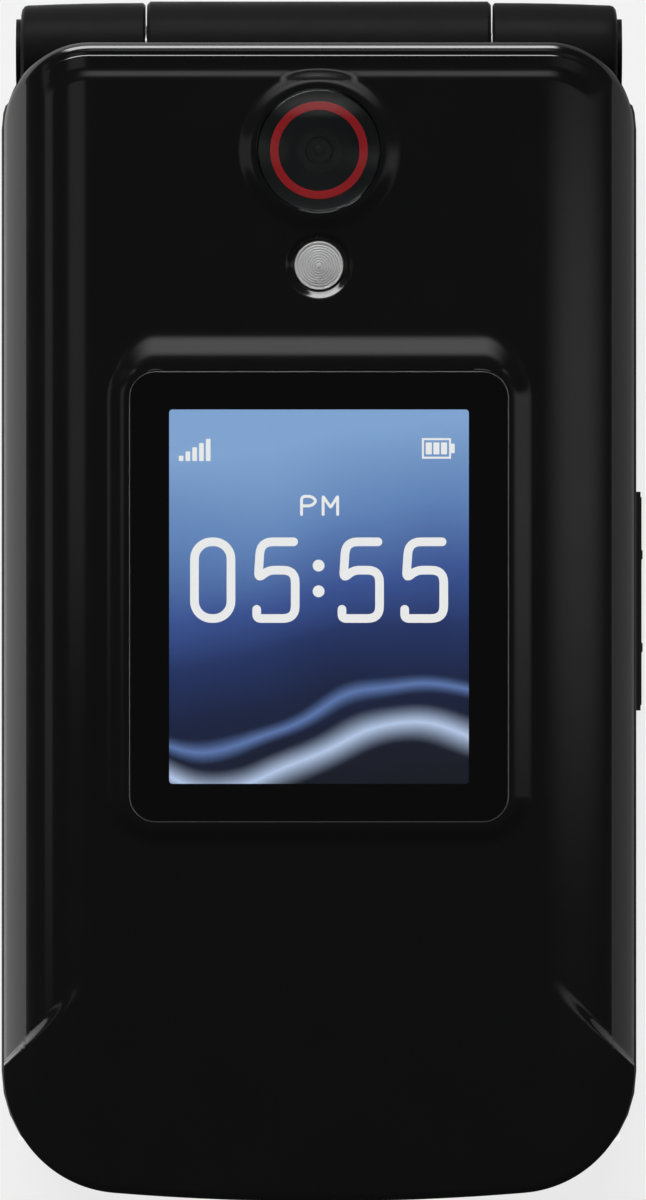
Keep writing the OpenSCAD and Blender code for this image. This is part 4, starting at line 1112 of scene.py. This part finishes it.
FINISHES = [
    (SOFT, "base_front_case base_rear_case battery_cover lid_inner_case hinge_caps"),
    (SIDE, "volume_rocker side_key"),
    (WRAP, "battery"),
    (MOULDED, "battery_contacts headset_jack loudspeaker camera_module earpiece direction_hub"),
    (BOARD, "main_board lid_board"),
    (FILM, "dome_sheet"),
    (STEEL, "card_socket charging_port vibration_motor shield_can base_screws lid_screws hinge_spring"),
    (HINGE_STEEL, "hinge_cam_shaft hinge_bush hinge_cartridge"),
    (TUNGSTEN, "vibrator_weight"),
    (LEAD, "main_antenna base_flex lid_flex"),
    (DARK_PANEL, "main_display cover_display"),
    (RUBBER, "lid_bumpers ok_foot"),
]
FINISH = {name: mat for mat, names in FINISHES for name in names.split()}


def finish_cad_nodes():
    """Gives each CAD piece that shows its finish, KEY where none is listed, and even shading."""
    for name, node in frame["nodes"].items():
        if node.hide_render:
            continue
        node.data.materials.clear()
        node.data.materials.append(FINISH.get(name, KEY))
        weld = node.modifiers.new("weld", "WELD")
        weld.merge_threshold = 0.002 * UNIT
        node.data.shade_smooth()
        angle = node.modifiers.new("edges", "EDGE_SPLIT")
        angle.split_angle = math.radians(32)


finish_cad_nodes()


# ---- floor, light and camera ----

FLOOR_HALF = 8                # metres
FLOOR_DROP = 0.05 * UNIT      # keeps the floor off the phone's flat back
FLOOR_SEEN_IN = 1             # the clear part under the phone ends this far inside its outline


def panel(name, mat, x, y):
    """Flat rectangle about its own middle, of half sizes x and y in metres."""
    mesh = bpy.data.meshes.new(name)
    mesh.from_pydata([(-x, -y, 0), (x, -y, 0), (x, y, 0), (-x, y, 0)], [], [(0, 1, 2, 3)])
    mesh.materials.append(mat)
    obj = bpy.data.objects.new(name, mesh)
    bpy.context.scene.collection.objects.link(obj)
    return obj


def floor():
    """Pale floor, near white for the camera. Its right side has painted shade in reflections: glossy rays
    see it darker there.
    """
    mat, tree, shader = material("floor", Roughness=0.9, Specular_IOR_Level=0.1)
    shade = remap(tree, noise(tree, 40, 3), 0.3, 0.7)
    base_colour(tree, shader, shade, grey(0.9), grey(0.93))
    path = add(tree, "LightPath")
    mirrored = path.outputs["Is Glossy Ray"]
    seen = math_of(tree, "MAXIMUM", path.outputs["Is Camera Ray"], path.outputs["Is Transmission Ray"])
    # painted shade in reflections: glossy rays see the floor darker from left to right across the phone's
    # middle
    painted_shade_on_right = math_of(tree, "MULTIPLY", mirrored, remap(tree, place_split(tree).outputs["X"], -0.03, 0.03))
    share = math_of(tree, "MULTIPLY", seen, 0.8)
    share = math_of(tree, "ADD", share, math_of(tree, "MULTIPLY", mirrored, 0.4))
    share = math_of(tree, "ADD", share, math_of(tree, "MULTIPLY", painted_shade_on_right, 0.4))
    # the painted shade: the floor's light, as glossy rays see it, falls towards the right
    strength = math_of(tree, "SUBTRACT", 1.0, math_of(tree, "MULTIPLY", painted_shade_on_right, 0.82))
    light = add(tree, "Emission", Color=(1, 1, 1, 1), Strength=strength)
    both = add(tree, "MixShader", Fac=share)
    wire(tree, both.inputs[1], shader.outputs[0])
    wire(tree, both.inputs[2], light.outputs[0])
    # from below, and under the phone, the floor is clear, so that the phone's back can be looked at
    clear = add(tree, "NewGeometry").outputs["Backfacing"]
    under = 1.0
    for axis, half in (("X", cover_half - FLOOR_SEEN_IN), ("Y", lid_end - FLOOR_SEEN_IN)):
        off = math_of(tree, "ABSOLUTE", place_split(tree).outputs[axis])
        under = math_of(tree, "MULTIPLY", under, math_of(tree, "LESS_THAN", off, half * UNIT))
    below = add(tree, "MixShader", Fac=math_of(tree, "MAXIMUM", clear, under))
    wire(tree, below.inputs[1], both.outputs[0])
    wire(tree, below.inputs[2], add(tree, "BsdfTransparent").outputs[0])
    wire(tree, tree.nodes["Material Output"].inputs["Surface"], below.outputs[0])
    obj = panel("floor", mat, FLOOR_HALF, FLOOR_HALF)
    obj.location.z = -FLOOR_DROP


def softbox(name, azimuth, elevation, distance, width, height, radiance, soft, along=0.0):
    """Glowing panel that faces the phone and fades towards its edges.

    Azimuth 0 stands over the hinge end, 90 to the right. Lengths are metres, soft is the share of the
    panel that fades, and the panel is moved by along in Y.
    """
    mat, tree, shader = material(name)
    tree.nodes.remove(shader)
    across = place_split(tree)
    strength = radiance
    for axis, half in (("X", width / 2), ("Y", height / 2)):
        off = math_of(tree, "ABSOLUTE", across.outputs[axis])
        fade = add(tree, "MapRange", {"interpolation_type": "SMOOTHSTEP"}, Value=off, From_Min=half,
                   From_Max=half * (1 - soft))
        strength = math_of(tree, "MULTIPLY", strength, fade.outputs["Result"])
    light = add(tree, "Emission", Color=(1, 1, 1, 1), Strength=strength)
    both = tree.nodes.new("ShaderNodeAddShader")
    wire(tree, both.inputs[0], light.outputs[0])
    wire(tree, both.inputs[1], add(tree, "BsdfTransparent").outputs[0])
    wire(tree, tree.nodes["Material Output"].inputs["Surface"], both.outputs[0])
    obj = panel(name, mat, width / 2, height / 2)
    a, e = math.radians(azimuth), math.radians(elevation)
    away = Vector((math.sin(a) * math.cos(e), math.cos(a) * math.cos(e), math.sin(e)))
    obj.location = away * distance + Vector((0, along, 0))
    obj.rotation_euler = away.to_track_quat("Z", "Y").to_euler()
    obj.visible_camera = False


def lights():
    # azimuth, elevation, distance, width, height, radiance, soft, along
    softbox("back_key", -12, 28, 4.0, 5.0, 2.8, 6.2, 0.35)
    softbox("top_back", 0, 66.5, 4.0, 4.0, 1.1, 0.9, 0.95)
    softbox("right_fill", 90, 48, 0.5, 0.13, 0.85, 0.28, 0.9, 0.022)
    softbox("left_low", -90, 34, 0.5, 0.18, 0.11, 0.19, 0.6, 0.03)
    softbox("left_high", -90, 66, 0.5, 0.13, 0.22, 0.16, 0.6, 0.045)


def world():
    """Dim all round, with a pale rim at the horizon, and pale for the camera."""
    made = bpy.data.worlds.new("world")
    made.use_nodes = True
    tree = made.node_tree
    way = add(tree, "SeparateXYZ", Vector=add(tree, "TexCoord").outputs["Generated"])
    low = remap(tree, way.outputs["Z"], 0.02, 0.05, 1.0, 0.0)
    low = math_of(tree, "MULTIPLY", low, remap(tree, way.outputs["X"], 0.2, 0.8, 1.0, 0.35))
    pale = math_of(tree, "MAXIMUM", add(tree, "LightPath").outputs["Is Camera Ray"], low)
    colour = blend_colours(tree, pale, (0.036, 0.036, 0.036), (0.92, 0.92, 0.92))
    wire(tree, tree.nodes["Background"].inputs["Color"], colour)
    bpy.context.scene.world = made


PHOTO_H = 108.1               # height of the phone that the photograph's frame takes in
CAMERA_X = 0.36               # the photograph is taken from a little right of the middle
CAMERA_FAR = 1500
OUTLINE_Z = 13                # height of the outline that fills the photograph
SENSOR = 36


def camera_above():
    """Camera straight above the phone. It looks down its own -Z, so it needs no turn."""
    data = bpy.data.cameras.new("camera")
    data.sensor_width = SENSOR
    data.lens = SENSOR * (CAMERA_FAR - OUTLINE_Z) / PHOTO_H
    data.clip_start = 0.05
    data.clip_end = 50
    obj = bpy.data.objects.new("camera", data)
    bpy.context.scene.collection.objects.link(obj)
    obj.location = (CAMERA_X * UNIT, 0, CAMERA_FAR * UNIT)
    bpy.context.scene.camera = obj


floor()
lights()
world()
camera_above()
bpy.context.scene.view_settings.view_transform = "Standard"
